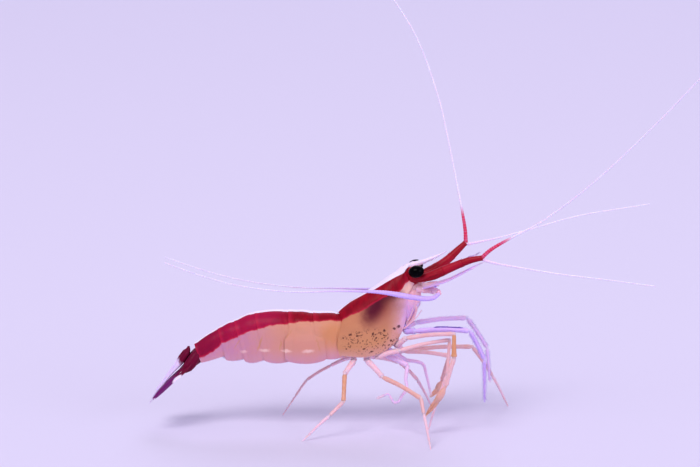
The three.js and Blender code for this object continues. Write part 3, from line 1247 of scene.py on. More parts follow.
@dataclass(frozen=True)
class ShellFinish(Finish):
    """A shell with a white line down the back, a crimson band beside it and pale flanks."""

    upper: Colour
    lower: Colour
    hem: Colour
    far: Colour  # the flank's colour at the far end
    turn: tuple[float, float]  # from where to where along the body the far colour comes in
    spots: tuple[Spot, ...] = ()
    speck_area: Spot | None = None
    wet: Wetness = Wetness()

    def band(self, g: Graph, place: Signal, flank: Signal) -> Signal:
        """Lays the crimson band and the white line over the flank.

        Args:
            g: The finish's graph.
            place: The surface's place.
            flank: The flank's colour.

        Returns:
            The shell's colour.
        """
        arc, white, red = g.marks(Mark.BANDS)
        plate_share = g.marks(Mark.FLANK)[1]
        streaks = g.noise(place * (1.6, 0.7, 0.7), 0.9, 3.0)
        back = place.parts()[0] * -1.0
        low = red + g.sway(place, 1.1, 4.0, 0.55)
        high = white + g.sway(place, 0.9, 2.0, 0.22)
        crimson = g.coats(
            CRIMSON_DEEP,
            (streaks.rise(0.35, 0.7), CRIMSON),
            (back.rise(8.0, 13.0) * 0.55, RASPBERRY),
            (back.rise(18.0, 22.0) * 0.5, TAIL_RED),
            (plate_share.rise(0.84, 0.97) * 0.3, CRIMSON_LIGHT),
            (arc.rise(low - 0.4, low) * 0.6, CRIMSON_LIGHT),
        )
        return g.coats(
            flank, (arc.rise(low + 0.13, low - 0.13), crimson), (arc.rise(high + 0.07, high - 0.07), WHITE)
        )

    def specks(self, g: Graph, place: Signal) -> tuple[Signal, Colour]:
        """The share and colour of the dark specks, scattered over one area."""
        share, colour = self.speck_area.coat(g, place)
        flat = place * (1.0, 0.35, 1.0) + g.sway(place, 4.0, 2.0, 0.5)
        return g.use(SPECKS, Place=flat, Scale=2.9, Size=0.5)["Mask"] * share, colour

    def wire(self, g: Graph) -> dict[str, object]:
        """Wires the finish.

        Args:
            g: The finish's graph.

        Returns:
            The shader's values by socket name.
        """
        place = g.place()
        down = g.marks(Mark.FLANK)[0]
        grain = g.use(WET_GRAIN, Place=place, Scale=5.0)
        loose = place + g.sway(place, 1.6, 3.0, 0.7)
        coats = [
            (down.rise(0.35, 0.85), self.lower),
            (place.parts()[0].rise(*self.turn), self.far),
            (down.rise(0.8, 1.0), self.hem),
            (grain["Mottle"].rise(0.38, 0.66) * 0.34, self.lower),
            *(spot.coat(g, loose) for spot in self.spots),
        ]
        if self.speck_area:
            coats.append(self.specks(g, place))
        return {
            "Base Color": self.band(g, place, g.coats(self.upper, *coats)),
            "Normal": g.bump(grain["Height"], 0.035, 0.55),
            **self.wet.sockets(),
        }


@dataclass(frozen=True)
class BladeFinish(Finish):
    """A thin leaf, coloured by the shares along and across it, with clear edges."""

    root: Colour
    tip: Colour
    turn: tuple[float, float] = (0.2, 0.8)  # from where to where along it the tip's colour comes
    clear_from: float = 0.7  # share across at which the clear edge starts
    clear_end: float = 0.95  # share along at which the clear end starts
    spots: tuple[Spot, ...] = ()
    clear: Colour = CLEAR
    alpha: float = 1.0  # how solid the clear parts are
    wet: Wetness = Wetness()

    def wire(self, g: Graph) -> dict[str, object]:
        """Wires the finish.

        Args:
            g: The finish's graph.

        Returns:
            The shader's values by socket name.
        """
        share, across, _ = g.marks(Mark.BLADE)
        place = g.place()
        grain = g.use(WET_GRAIN, Place=place, Scale=6.0)
        wobble = g.sway(place, 1.1, 3.0, 0.28)
        turned = share + wobble
        pattern = g.pair(share, across + wobble)
        side = abs(across).rise(self.clear_from, 1.0) * share.rise(0.35, 0.6)
        edge = side.sum("MAXIMUM", side, turned.rise(self.clear_end, 1.0))
        fan = across / (share + 0.25) * 26.0
        vein = abs(fan.sum("SINE", fan))
        return {
            "Base Color": g.coats(
                self.root, (turned.rise(*self.turn), self.tip),
                *(spot.coat(g, pattern) for spot in self.spots), (edge, self.clear),
            ),
            "Alpha": 1.0 - edge * (1 - self.alpha) if self.alpha < 1 else 1.0,
            "Normal": g.bump(grain["Height"] + vein * 0.12, 0.03, 0.4),
            **self.wet.sockets(),
        }


@dataclass(frozen=True)
class LimbFinish(Finish):
    """A limb that is pale in some articles and rich in others, with paler joints."""

    pale: Colour
    rich: Colour
    joint: Colour
    ring_pitch: float = 0.0  # millimetres between rings, or none
    wet: Wetness = Wetness(roughness=0.4, coat=0.1, depth=0.3, reach=0.6, gloss=0.3)

    def wire(self, g: Graph) -> dict[str, object]:
        """Wires the finish.

        Args:
            g: The finish's graph.

        Returns:
            The shader's values by socket name.
        """
        tone, share, distance = g.marks(Mark.TONE)
        grain = g.use(WET_GRAIN, Place=g.place(), Scale=7.0)
        height = grain["Height"]
        coats = [
            (tone + (grain["Mottle"] - 0.5) * 0.7, self.rich),
            (abs(share - 0.5).rise(0.4, 0.5) * 0.3, self.joint),
        ]
        if self.ring_pitch:
            rings = g.use(JOINT_RINGS, Distance=distance, Pitch=self.ring_pitch)
            coats.append((rings["Line"] * 0.3, self.joint))
            height = height + rings["Height"]
        return {
            "Base Color": g.coats(self.pale, *coats),
            "Normal": g.bump(height, 0.03, 0.5),
            **self.wet.sockets(),
        }


@dataclass(frozen=True)
class FeelerFinish(Finish):
    """A ringed feeler that fades from its root's colour to its tip's."""

    root: Colour
    line: Colour
    fade: tuple[float, float]  # from where to where along it, in millimetres
    tip: Colour = tint(0xEFE6FF)
    pitch: float = 0.42
    wet: Wetness = Wetness(roughness=0.4, coat=0.1, depth=0.2, reach=0.4)

    def wire(self, g: Graph) -> dict[str, object]:
        """Wires the finish.

        Args:
            g: The finish's graph.

        Returns:
            The shader's values by socket name.
        """
        distance = g.marks(Mark.REACH)[1]
        grain = g.use(WET_GRAIN, Place=g.place(), Scale=6.0)
        rings = g.use(JOINT_RINGS, Distance=distance, Pitch=self.pitch)
        return {
            "Base Color": g.coats(
                self.root,
                (distance.rise(*self.fade), self.tip),
                (grain["Mottle"].rise(0.4, 0.65) * 0.25, self.line),
                (rings["Line"] * 0.35, self.line),
            ),
            "Normal": g.bump(rings["Height"], 0.03, 0.6),
            **self.wet.sockets(),
        }


@dataclass(frozen=True)
class FleshFinish(Finish):
    """Soft flesh and bristles: mottled, with darker cloudy patches."""

    light: Colour
    dark: Colour
    spots: tuple[Spot, ...] = ()
    wet: Wetness = Wetness(roughness=0.45, coat=0.1, depth=0.4, reach=0.8)

    def wire(self, g: Graph) -> dict[str, object]:
        """Wires the finish.

        Args:
            g: The finish's graph.

        Returns:
            The shader's values by socket name.
        """
        place = g.place()
        grain = g.use(WET_GRAIN, Place=place, Scale=3.5)
        return {
            "Base Color": g.coats(
                self.light, (grain["Mottle"].rise(0.38, 0.66), self.dark),
                *(spot.coat(g, place) for spot in self.spots),
            ),
            "Normal": g.bump(grain["Height"], 0.06, 0.6),
            **self.wet.sockets(),
        }


@dataclass(frozen=True)
class CorneaFinish(Finish):
    """The glossy black of an eye, with its fine grain of facets."""

    black: Colour = tint(0x010103)
    bloom: Colour = tint(0x050308)
    facets: float = 11.0  # facets in a millimetre

    def wire(self, g: Graph) -> dict[str, object]:
        """Wires the finish.

        Args:
            g: The finish's graph.

        Returns:
            The shader's values by socket name.
        """
        place = g.place()
        cell = g.cells(place, self.facets)
        return {
            "Base Color": g.coats(self.black, (g.noise(place, 1.3, 2.0).rise(0.4, 0.7), self.bloom)),
            "Roughness": cell * 0.12 + 0.16,
            "Normal": g.bump(1.0 - cell, 0.012, 0.5),
            "IOR": 1.4,
            "Specular IOR Level": 0.04,
            "Coat Weight": 0.02,
            "Coat Roughness": 0.05,
        }


# ---------------------------------------------------------------- shell plates and the trunk


@dataclass(frozen=True)
class Hoop:
    """A section across the body: its top, its lower edge and its half width, in millimetres."""

    top: Vector
    low: Vector
    half: float
    shoulder: float = 0.55  # share across at which it is widest
    power: float = 2.2  # roundness above that

    @classmethod
    def over(cls, table: Sequence[Row], place: float) -> "Hoop":
        """Reads a table of sections: top x and z, lower x and z, and half width."""
        top_x, top_z, low_x, low_z, half = through(table, place)
        return cls(Vector((top_x, 0, top_z)), Vector((low_x, 0, low_z)), half)

    @property
    def middle(self) -> Vector:
        """The point half way down it."""
        return (self.top + self.low) / 2

    def point(self, across: float, tuck: float) -> Vector:
        """A point on the hoop.

        Args:
            across: 0 at the top, 1 at the left lower edge and -1 at the right one.
            tuck: How far the lower edge turns in, as a share of the half width.

        Returns:
            The point.
        """
        side = abs(across)
        if side < self.shoulder:
            turn = side / self.shoulder * math.pi / 2
            up = math.cos(turn) ** (2 / self.power)
            out = math.sin(turn) ** (2 / self.power)
        else:
            fall = (side - self.shoulder) / (1 - self.shoulder)
            up = -fall
            out = 1 - tuck * fall**3
        rise = self.top - self.middle
        return self.middle + rise * up + AXIS_Y * math.copysign(self.half * out, across)


@dataclass
class Sheet:
    """An arching shell plate, drawn by a rule for its points and marked for its finish."""

    point: Callable[[float, float], Vector]  # by the share along and from -1 to 1 across
    bands: Callable[[float], tuple[float, float]]  # the white and red edges, by the share along
    rows: int
    columns: int
    wall: float = 0.13
    hem_row: float = 0.985  # the share across at which the hem's bristles grow
    hem_rise: float = 0.905  # the share across that they point away from

    def build(self, name: str) -> Piece:
        """Draws the plate and gives it its wall.

        Args:
            name: The plate's name.

        Returns:
            The plate.
        """
        rings, bands, flank = [], [], []
        half = self.columns // 2
        for i in range(self.rows + 1):
            share = i / self.rows
            ring = [self.point(share, k / half - 1) for k in range(self.columns)]
            arcs = [0.0] * self.columns
            for k in range(1, half + 1):
                arcs[half + k] = arcs[half + k - 1] + (ring[half + k] - ring[half + k - 1]).length
                arcs[half - k] = arcs[half - k + 1] + (ring[half - k] - ring[half - k + 1]).length
            bands += [(arc, *self.bands(share)) for arc in arcs]
            flank += [(abs(k / half - 1), share, 0) for k in range(self.columns)]
            rings.append(ring)
        plate = loft(name, rings, closed=False)
        mark(plate, Mark.BANDS, bands)
        mark(plate, Mark.FLANK, flank)
        thicken(plate, self.wall)
        return plate

    def hem(self, count: int, length: float, start: float, end: float) -> list[Bristle]:
        """Grows a row of short bristles down from the plate's lower edges.

        Args:
            count: How many on each side.
            length: Their length in millimetres.
            start: The share along the plate where the row starts.
            end: Where it ends.

        Returns:
            The bristles.
        """
        grown = []
        for side in Side:
            across = self.hem_row * side.value
            for k in range(count):
                share = mix(start, end, (k + 0.5) / count)
                root = self.point(share, across)
                down = (root - self.point(share, self.hem_rise * side.value)).normalized()
                tip = root + (down - AXIS_X * 0.35).normalized() * length * random.uniform(0.7, 1.15)
                grown.append(Bristle(root, tip, AXIS_X * 0.06, FINE_HAIR, (share, 0.5 + 0.5 * across)))
        return grown


@dataclass
class Carapace:
    """The shield over the head and chest, with its rostrum."""

    finish: Material
    ridge: Material
    hair: Material
    sections: Rows = (
        (-1.9, 18.72, -1.5, 12.0, 2.66),
        (0.0, 20.1, 0.3, 11.9, 3.0),
        (2.0, 21.4, 2.6, 11.9, 3.1),
        (4.0, 22.75, 4.8, 12.5, 3.05),
        (6.0, 24.2, 6.9, 14.0, 2.75),
        (7.5, 25.15, 8.2, 16.2, 2.25),
        (8.4, 25.75, 8.8, 18.6, 1.75),
        (9.0, 26.05, 9.0, 21.4, 1.2),
    )
    white: Rows = ((0, 0.8), (1, 0.3), (1.8, 0.64), (2.2, 0.85), (2.9, 1.3), (4.1, 1.5), (7, 1.6))
    red: Rows = ((0, 2.8), (1, 3.2), (1.7, 3.55), (3.2, 3.6), (5, 3.95), (6.4, 3.45), (7, 3.3))
    orbit: float = 0.55  # how far the front margin is hollowed behind the eye
    spine: float = 0.95  # how far the spine below the eye stands out
    corner: float = 0.25  # how far the lower corner stands out
    groove: float = 0.09  # depth of the groove across the neck
    gill_line: float = 0.04  # depth of the line over the gills
    rostrum: Rows = (
        (4.6, 22.9, 22.3),
        (6.6, 24.65, 23.6),
        (8.8, 26.1, 25.1),
        (10.8, 26.65, 25.8),
        (12.8, 27.3, 26.75),
        (14.9, 28.1, 27.98),
    )
    rostrum_half: float = 0.3
    upper_teeth: Row = (1.15, 1.75, 2.3, 2.85, 3.4, 3.95, 4.5)  # each tooth's place on the rostrum
    lower_teeth: Row = (3.35, 3.85, 4.35)
    tooth: float = 0.5

    def point(self, share: float, across: float) -> Vector:
        """A point on the shield's outer face.

        Args:
            share: How far it is from the rear margin to the front one.
            across: 0 at the top, 1 at the left lower edge and -1 at the right one.

        Returns:
            The point.
        """
        place = share * (len(self.sections) - 1)
        side = abs(across)
        spot = Hoop.over(self.sections, place).point(across, 0.16 + 0.1 * ease(place, 4, 7))
        spine = self.spine * hump(side, 0.62, 0.09) ** 1.6
        corner = self.corner * hump(side, 0.95, 0.2)
        spot.x += ease(place, 5.6, 7.0) * (spine + corner)
        spot.x -= ease(place, 4.6, 7.0) * self.orbit * hump(side, 0.36, 0.2)
        rear = 1 - ease(place, 0.0, 0.5)
        spot.x += rear * (0.45 * hump(side, 0.3, 0.3) - 0.35 * hump(side, 0.78, 0.3))
        groove = hump(place - 0.9 * side, 4.1, 0.28) * ease(side, 0.12, 0.3) * (1 - ease(side, 0.6, 0.8))
        gill = hump(side - 0.05 * place, 0.52, 0.05) * (1 - ease(place, 3.2, 4.2))
        lip = 0.06 * ease(side, 0.95, 0.99) + 0.02 * (1 - ease(place, 0.02, 0.18))
        lift = lip - self.groove * groove - self.gill_line * gill
        spot.y += math.copysign(1, across) * lift * min(side * 4, 1)
        spot.z += lip * max(1 - side * 3, 0)
        return spot

    def bands(self, share: float) -> tuple[float, float]:
        """The white and red edges at a share along the shield."""
        place = share * (len(self.sections) - 1)
        return stepped(self.white, place), stepped(self.red, place)

    def keel(self) -> Piece:
        """Draws the rostrum's thin blade with its side ridges.

        Returns:
            The blade.
        """
        rings, rows = [], []
        count, sides = 60, 16
        for i in range(count + 1):
            share = i / count
            x, top, low = through(self.rostrum, share * (len(self.rostrum) - 1))
            middle, rise = (top + low) / 2, (top - low) / 2
            half = self.rostrum_half * (1 - ease(share, 0.72, 1.02) * 0.86)
            ring = []
            for k in range(sides):
                turn = math.tau * k / sides
                out = math.copysign(abs(math.cos(turn)) ** 1.5, math.cos(turn)) * half
                ring.append(Vector((x, out, middle + rise * math.sin(turn))))
            rings.append(ring)
            rows += [(0.06 + 0.4 * ease(share, 0.93, 1.0), 0.5, 0)] * sides
        blade = loft("rostrum_blade", rings)
        mark(blade, Mark.TONE, rows)
        return blade

    def teeth(self, places: Row, out: Vector) -> list[Piece]:
        """Draws the hooked teeth on one of the rostrum's edges.

        Args:
            places: Where on the rostrum they stand.
            out: The direction in which they stand out.

        Returns:
            The teeth.
        """
        made = []
        top = out.z > 0
        for place in places:
            x, high, low = through(self.rostrum, place)
            size = self.tooth * (1 - 0.08 * place) * (1 if top else 0.8)
            foot = Vector((x, 0, high - 0.12 if top else low + 0.1))
            tip = foot + AXIS_X * size * 1.15 + out * (size * 0.62)
            bend = foot + AXIS_X * size * 0.25 + out * (size * 0.55)
            made.append(thorn("rostrum_tooth", foot, bend, tip, size * 0.3, 0.45, 0.2))
        return made

    def build(self) -> None:
        """Builds the shield, the rostrum and the shield's hem bristles."""
        sheet = Sheet(self.point, self.bands, rows=91, columns=121, wall=0.08)
        keep(sheet.build("carapace_shield"), self.finish, Slot.SHELL, "carapace")
        teeth = [*self.teeth(self.upper_teeth, AXIS_Z), *self.teeth(self.lower_teeth, -AXIS_Z)]
        keep(join("rostrum", [self.keel(), *teeth]), self.ridge, Slot.SHELL, "carapace")
        hem = plant("carapace_hem_bristles", sheet.hem(90, 0.32, 0.03, 0.8))
        keep(hem, self.hair, Slot.SHELL, "carapace")


@dataclass
class Belly:
    """The six overlapping plates of the belly, each with a lobe hanging over each flank."""

    finish: Material
    hair: Material
    sections: Rows = (
        (-2.1, 18.45, -1.8, 12.9, 2.5),
        (-5.4, 18.5, -4.7, 12.8, 2.7),
        (-9.1, 18.75, -8.9, 12.7, 2.75),
        (-14.4, 18.5, -13.0, 12.6, 2.5),
        (-17.7, 17.25, -16.1, 12.4, 2.15),
        (-20.2, 16.1, -18.9, 12.2, 1.8),
        (-24.0, 13.6, -22.9, 11.0, 1.4),
    )
    lobes: Row = (1.35, 1.85, 1.75, 1.6, 1.2, 0.3)  # how far each lobe hangs
    skews: Row = (1.0, 1.0, 1.2, 1.5, 1.9, 1.6)  # how far back its lowest point is
    wings: Row = (0.0, 0.16, 0.0, 0.0, 0.0, 0.0)  # how far it spreads over its neighbours
    arch: float = 0.15  # how far a plate's middle swells
    lip: float = 0.12  # how far its rear edge stands out
    tuck: float = 0.26  # how far its front edge is sunk under the plate before it
    white: Rows = (
        (0, 0.75), (0.3, 0.75), (1.2, 0.85), (2, 0.85), (2.9, 0.78), (3.8, 0.7), (4.7, 0.66),
        (5.5, 0.62), (6.2, 0.6),
    )
    red: Rows = (
        (0, 2.35), (0.8, 2.6), (1.65, 3.05), (2.35, 3.45), (3, 3.8), (4, 3.6), (4.6, 3.64),
        (5.1, 3.32), (5.4, 3.7), (6.2, 3.1),
    )

    def reach(self, plate: int, share: float, wing: float) -> float:
        """Where on the belly a plate's point is, in sections from the first."""
        return mix(plate - (0.14 if plate else 0.42) - wing, plate + 1.09 + wing, share)

    def sheet(self, plate: int) -> Sheet:
        """Lays out one of the plates.

        Args:
            plate: Its number, from 0 at the front.

        Returns:
            The plate.
        """

        def bands(share: float) -> tuple[float, float]:
            """The white and red edges at a share along the plate."""
            place = self.reach(plate, share, 0.0)
            return stepped(self.white, place), stepped(self.red, place)

        def point(share: float, across: float) -> Vector:
            """A point on the plate's outer face.

            Args:
                share: How far it is from the front edge to the rear one.
                across: 0 at the top, 1 at the left lower edge and -1 at the right one.

            Returns:
                The point.
            """
            side = abs(across)
            wing = self.wings[plate] * ease(side, 0.5, 0.75)
            place = self.reach(plate, share, wing)
            hoop = Hoop.over(self.sections, min(max(place, 0.0), 6.09))
            spot = hoop.point(across, 0.1)
            spot.x += max(-place, 0) * 3.3
            lift = self.arch * math.sin(math.pi * min(max(place - plate, 0), 1))
            lift += self.lip * ease(share, 0.78, 0.96) + wing * 1.6 - 0.03 * hump(share, 0.3, 0.06)
            if plate:
                lift -= self.tuck * (1 - ease(share, 0.0, 0.16)) * (1 - min(wing * 8, 1))
            rise = (spot.z - hoop.middle.z) / (hoop.top.z - hoop.middle.z)
            out = Vector((0, spot.y / hoop.half, max(rise, 0)))
            if out.length > 0.01:
                spot += out.normalized() * lift
            lobe = math.sin(math.pi * share ** self.skews[plate]) ** 0.55 if 0 < share < 1 else 0.0
            spot.z -= ease(side, 0.7, 1.0) * self.lobes[plate] * mix(0.62, 1.0, lobe)
            return spot

        return Sheet(point, bands, rows=44, columns=97)

    def build(self) -> None:
        """Builds the six plates and the bristles along their lobes."""
        hairs = []
        for plate in range(len(self.lobes)):
            sheet = self.sheet(plate)
            made = sheet.build(f"belly_plate_{plate + 1}")
            keep(made, self.finish, Slot.SHELL, f"abdomen_{plate + 1}")
            hairs += sheet.hem(34, 0.24, 0.1, 0.92)
        keep(plant("belly_hem_bristles", hairs), self.hair, Slot.SHELL, "abdomen_1")


@dataclass
class Trunk:
    """The soft body inside the plates, from the head's front to the tail's root, in one skin."""

    finish: Material
    carapace: Carapace
    belly: Belly
    inset: float = 0.34  # how far it lies inside the plates
    floor: float = 0.75  # how far its underside is above the plates' lower edges
    fold: float = 0.12  # height of the folds across its underside
    waist: Row = (-1.0, 18.5, -0.7, 12.4, 2.45)  # its section where the first plate slides under
    tail: Rows = ((-23.0, 13.2, -22.7, 12.2, 0.3), (-22.8, 13.5, -22.4, 12.0, 0.7))
    head: Rows = (
        (9.75, 25.55, 9.6, 21.0, 1.25),
        (10.35, 24.9, 10.3, 21.3, 1.1),
        (10.9, 24.2, 10.9, 21.8, 0.75),
        (11.15, 23.6, 11.1, 22.5, 0.3),
    )
    cuts: int = 8  # rings for each section
    sides: int = 48

    def build(self) -> None:
        """Builds the skin, with folds across its underside."""
        outer = [*reversed(self.belly.sections[:-1]), self.waist, *self.carapace.sections[1:]]
        shrink = (0, -self.inset, 0, self.floor, -self.inset)
        inner = [tuple(a + b for a, b in zip(row, shrink)) for row in outer]
        rows = [*self.tail, *inner, *self.head]
        rings = []
        for i in range((len(rows) - 1) * self.cuts + 1):
            place = i / self.cuts
            hoop = Hoop.over(rows, place)
            rise = hoop.top - hoop.middle
            ring = oval(hoop.middle, AXIS_Y, rise, hoop.half, 1.0, self.sides, 2.4)
            for spot in ring:
                under = ease((hoop.middle.z - spot.z) / rise.z, 0.5, 0.95)
                spot.z += under * self.fold * math.sin(place * math.tau * 2)
                spot.z += under * 0.25 * hump(abs(spot.y) / hoop.half, 0.0, 0.35)
            rings.append(ring)
        nodes = ["carapace", *(f"abdomen_{k + 1}" for k in range(len(self.belly.lobes)))]
        keep(loft("trunk", rings), self.finish, Slot.PALE, *nodes)


# ---------------------------------------------------------------- tail fan and swimmerets


@dataclass
class TailFan:
    """The telson and, on each side, a stalk that carries an inner and an outer blade.

    Its places are the distance along the fan, to its left and above it.
    """

    telson_finish: Material
    inner_finish: Material
    outer_finish: Material
    stalk_finish: Material
    joint_finish: Material
    hair: Material
    root: Row = (-24.9, 0.0, 12.7)
    angle: float = 53.5  # degrees that the fan points below the level
    telson: Rows = (
        (-0.3, 0, 0.22), (0.3, 0, -0.04), (1.2, 0, -0.08), (2.6, 0, -0.1), (5, 0, 0.05),
        (8.4, 0, 0.1),
    )
    inner: Rows = (
        (0.6, 0.9, -1.2), (3, 1.4, -1.05), (5.2, 1.7, -0.68), (7.2, 1.85, -0.42), (9, 1.9, -0.15),
    )
    outer: Rows = (
        (0.6, 1.25, -1.5), (2.2, 1.8, -1.35), (3.6, 2.1, -1.08), (5.3, 2.6, -0.62),
        (7.2, 2.9, -0.28), (9.2, 3.1, 0.05),
    )
    stalk: Rows = ((-0.9, 0.6, -1.4), (0.2, 0.85, -1.38), (1.6, 1.15, -1.45), (3.1, 1.6, -1.3))
    joint: Rows = ((-22.8, 0, 12.0), (-24.2, 0, 10.9), (-25.4, 0, 10.1))
    drop: float = 0.3  # how much lower the left side's blades are folded

    @property
    def ahead(self) -> Vector:
        """The direction that the fan points in."""
        fall = math.radians(self.angle)
        return Vector((-math.cos(fall), 0, -math.sin(fall)))

    @property
    def back(self) -> Vector:
        """The direction that the fan's upper face looks in."""
        return Vector((self.ahead.z, 0, -self.ahead.x))

    def place(self, s: float, y: float, n: float) -> Vector:
        """A point by its distance along the fan, to its left and above it."""
        return Vector(self.root) + self.ahead * s + self.back * n + AXIS_Y * y

    def course(self, rows: Rows, side: Side | None, count: int) -> Course:
        """A course through the fan's own places, on one side or down the middle."""
        sign = side.value if side else 1
        low = self.drop if side is Side.LEFT else 0.0
        return Course.over([self.place(s, y * sign, n - low * ease(s, 2, 5)) for s, y, n in rows], count)

    def telson_blade(self) -> Blade:
        """Lays out the middle blade, which narrows to a blunt end.

        Returns:
            The telson.
        """

        def half(share: float) -> float:
            """Its half width."""
            shape = along((0.1, 0.86, 1.02, 0.94, 0.84, 0.74, 0.62, 0.5, 0.36), share)
            return shape * (1 - 0.55 * ease(share, 0.95, 1.0))

        thick = even(0.05, 0.5, 0.56, 0.44, 0.3, 0.22, 0.16, 0.12, 0.1)
        return Blade(self.course(self.telson, None, 56), self.back, half, thick, -0.12, 0.2)

    def uropod_blade(self, side: Side, rows: Rows, half: Rule, tilt: float, keel: float) -> Blade:
        """Lays out one of the side blades.

        Args:
            side: The animal's side.
            rows: Its places on the fan.
            half: Its half width, by the share along.
            tilt: How far its upper face turns outwards.
            keel: Height of the ridge along it.

        Returns:
            The blade.
        """
        facing = (self.back + AXIS_Y * side.value * tilt).normalized()
        thick = even(0.3, 0.22, 0.15, 0.11, 0.08)
        return Blade(self.course(rows, side, 52), facing, half, thick, 0.06, keel, flip=side.value)

    def spines(self, blade: Blade) -> list[Piece]:
        """Draws the telson's two pairs of back spines and its end spines.

        Args:
            blade: The telson.

        Returns:
            The spines.
        """
        made = []
        last = len(blade.course.steps) - 1
        for i in (round(0.42 * last), round(0.68 * last)):
            middle, side, up, half, thick = blade.section(i)
            for sign in (-1, 1):
                foot = middle + side * half * 0.55 * sign + up * thick * 0.6
                tip = foot + blade.course.heading(i) * 0.55 + up * 0.16
                bend = foot.lerp(tip, 0.5) + up * 0.06
                made.append(thorn("telson_spine", foot, bend, tip, 0.07))
        middle, side, _, half, _ = blade.section(last)
        for across, length in ((-0.8, 0.5), (0.8, 0.5), (-0.35, 0.9), (0.35, 0.9)):
            foot = middle + side * half * across
            tip = foot + blade.course.heading(last) * length + side * across * 0.15
            made.append(thorn("telson_spine", foot, foot.lerp(tip, 0.5), tip, 0.06))
        return made

    def uropod_stalk(self, side: Side) -> Piece:
        """Draws the short stalk under the last plate, which carries two blades, with its tooth.

        Args:
            side: The animal's side.

        Returns:
            The stalk.
        """
        body = tube(
            "stalk", self.course(self.stalk, side, 20), even(0.55, 0.85, 1.0, 1.04, 0.95, 0.5), 24,
            self.back, 0.86, 2.5, lambda share: (share, 0, 0), Mark.BLADE,
        )
        end = self.place(2.3, 2.4 * side.value, -1.5)
        foot = self.place(1.5, 1.8 * side.value, -1.45)
        tooth = thorn("stalk_tooth", foot, foot.lerp(end, 0.6), end, 0.26)
        return join(f"uropod_stalk_{side.word}", [body, tooth])

    def build(self) -> None:
        """Builds the fan's blades, stalks, joint skin and fringe."""
        telson = self.telson_blade()
        spines = join("telson_spines", self.spines(telson))
        keep(telson.build("telson_blade"), self.telson_finish, Slot.TAIL, "telson")
        keep(spines, self.hair, Slot.TAIL, "telson")
        line = Course.over(self.joint, 16)
        skin = tube("tail_joint_skin", line, lambda share: 1.15 - 0.1 * share, 28, AXIS_Z, 0.85)
        keep(skin, self.joint_finish, Slot.TAIL, "telson")
        hairs = telson.fringe(46, 0.75, 0.62)
        for side in Side:
            inner = self.uropod_blade(side, self.inner, leaf_outline(0.98, 0.45, 0.62), 0.1, 0.12)
            outer = self.uropod_blade(side, self.outer, leaf_outline(1.22, 0.42, 0.5), 0.32, 0.16)
            near, far = f"uropod_inner_{side.word}", f"uropod_outer_{side.word}"
            keep(inner.build(f"uropod_inner_blade_{side.word}"), self.inner_finish, Slot.TAIL, near)
            keep(outer.build(f"uropod_outer_blade_{side.word}"), self.outer_finish, Slot.TAIL, far)
            keep(self.uropod_stalk(side), self.stalk_finish, Slot.TAIL, near, far)
            hairs += inner.fringe(60, 0.7, 0.62)
            # The outer blade's free outer edge is stiff and bare.
            hairs += outer.fringe(60, 0.7, 0.62, sides=(-side.value,))
        keep(plant("tail_fan_fringe", hairs), self.hair, Slot.TAIL, "telson")


@dataclass
class Swimmerets:
    """The five pairs of swimmerets, laid back under the belly: a stalk and two leaves each."""

    finish: Material
    hair: Material
    belly: Belly
    lengths: Row = (4.6, 5.6, 5.6, 4.2, 3.0)
    rake: float = 7.0  # degrees that a swimmeret points below the level
    gap: float = 1.3  # how far its root is above the belly plate's lowest edge
    leaves: Rows = ((0.05, 0.85), (-0.07, 0.7))  # how far each leaf spreads, and its half width
    stalk_share: float = 0.42

    def course(self, pair: int, side: Side, start: float, end: float, out: float) -> Course:
        """Lays a stretch of a swimmeret.

        Args:
            pair: The swimmeret's number, from 0 at the front.
            side: The animal's side.
            start: The share of its length where the stretch starts.
            end: Where it ends.
            out: How far it spreads outwards for each millimetre.

        Returns:
            The course.
        """
        hoop, length = Hoop.over(self.belly.sections, pair + 0.3), self.lengths[pair]
        root = Vector((
            hoop.low.x, side.value * hoop.half * 0.45, hoop.low.z - self.belly.lobes[pair] + self.gap,
        ))
        fall = math.radians(self.rake)
        spots = []
        for k in range(5):
            share = mix(start, end, k / 4)
            drop = share * length * math.sin(fall) * (1 - 0.3 * share)
            spread = side.value * out * max(share - start, 0) * length
            spots.append(root + Vector((-share * length * math.cos(fall), spread, -drop)))
        return Course.over(spots, 26)

    def build(self) -> None:
        """Builds the ten swimmerets and one fringe for each."""
        for pair in range(len(self.lengths)):
            for side in Side:
                name, node = f"{pair + 1}_{side.word}", f"swimmeret_{pair + 1}_{side.word}"
                facing = Vector((-0.2, 0.85 * side.value, 0.5)).normalized()
                stalk = Blade(
                    self.course(pair, side, -0.28, self.stalk_share, 0.0), facing,
                    even(0.5, 0.75, 0.85, 0.85, 0.7), even(0.24, 0.26, 0.24, 0.2, 0.14),
                )
                leaves = [
                    Blade(
                        self.course(pair, side, self.stalk_share - 0.06, 1.0, out), facing,
                        leaf_outline(wide, 0.4, 0.6), even(0.1, 0.08, 0.05), 0.1, 0.05, 24,
                    )
                    for out, wide in self.leaves
                ]
                parts = [blade.build("swimmeret_leaf") for blade in (stalk, *leaves)]
                keep(join(f"swimmeret_leaves_{name}", parts), self.finish, Slot.SWIMMERET, node)
                hairs = [b for leaf in leaves for b in leaf.fringe(34, 0.4, 0.15, width=0.022)]
                keep(plant(f"swimmeret_fringe_{name}", hairs), self.hair, Slot.SWIMMERET, node)


# ---------------------------------------------------------------- jointed limbs and ringed lashes


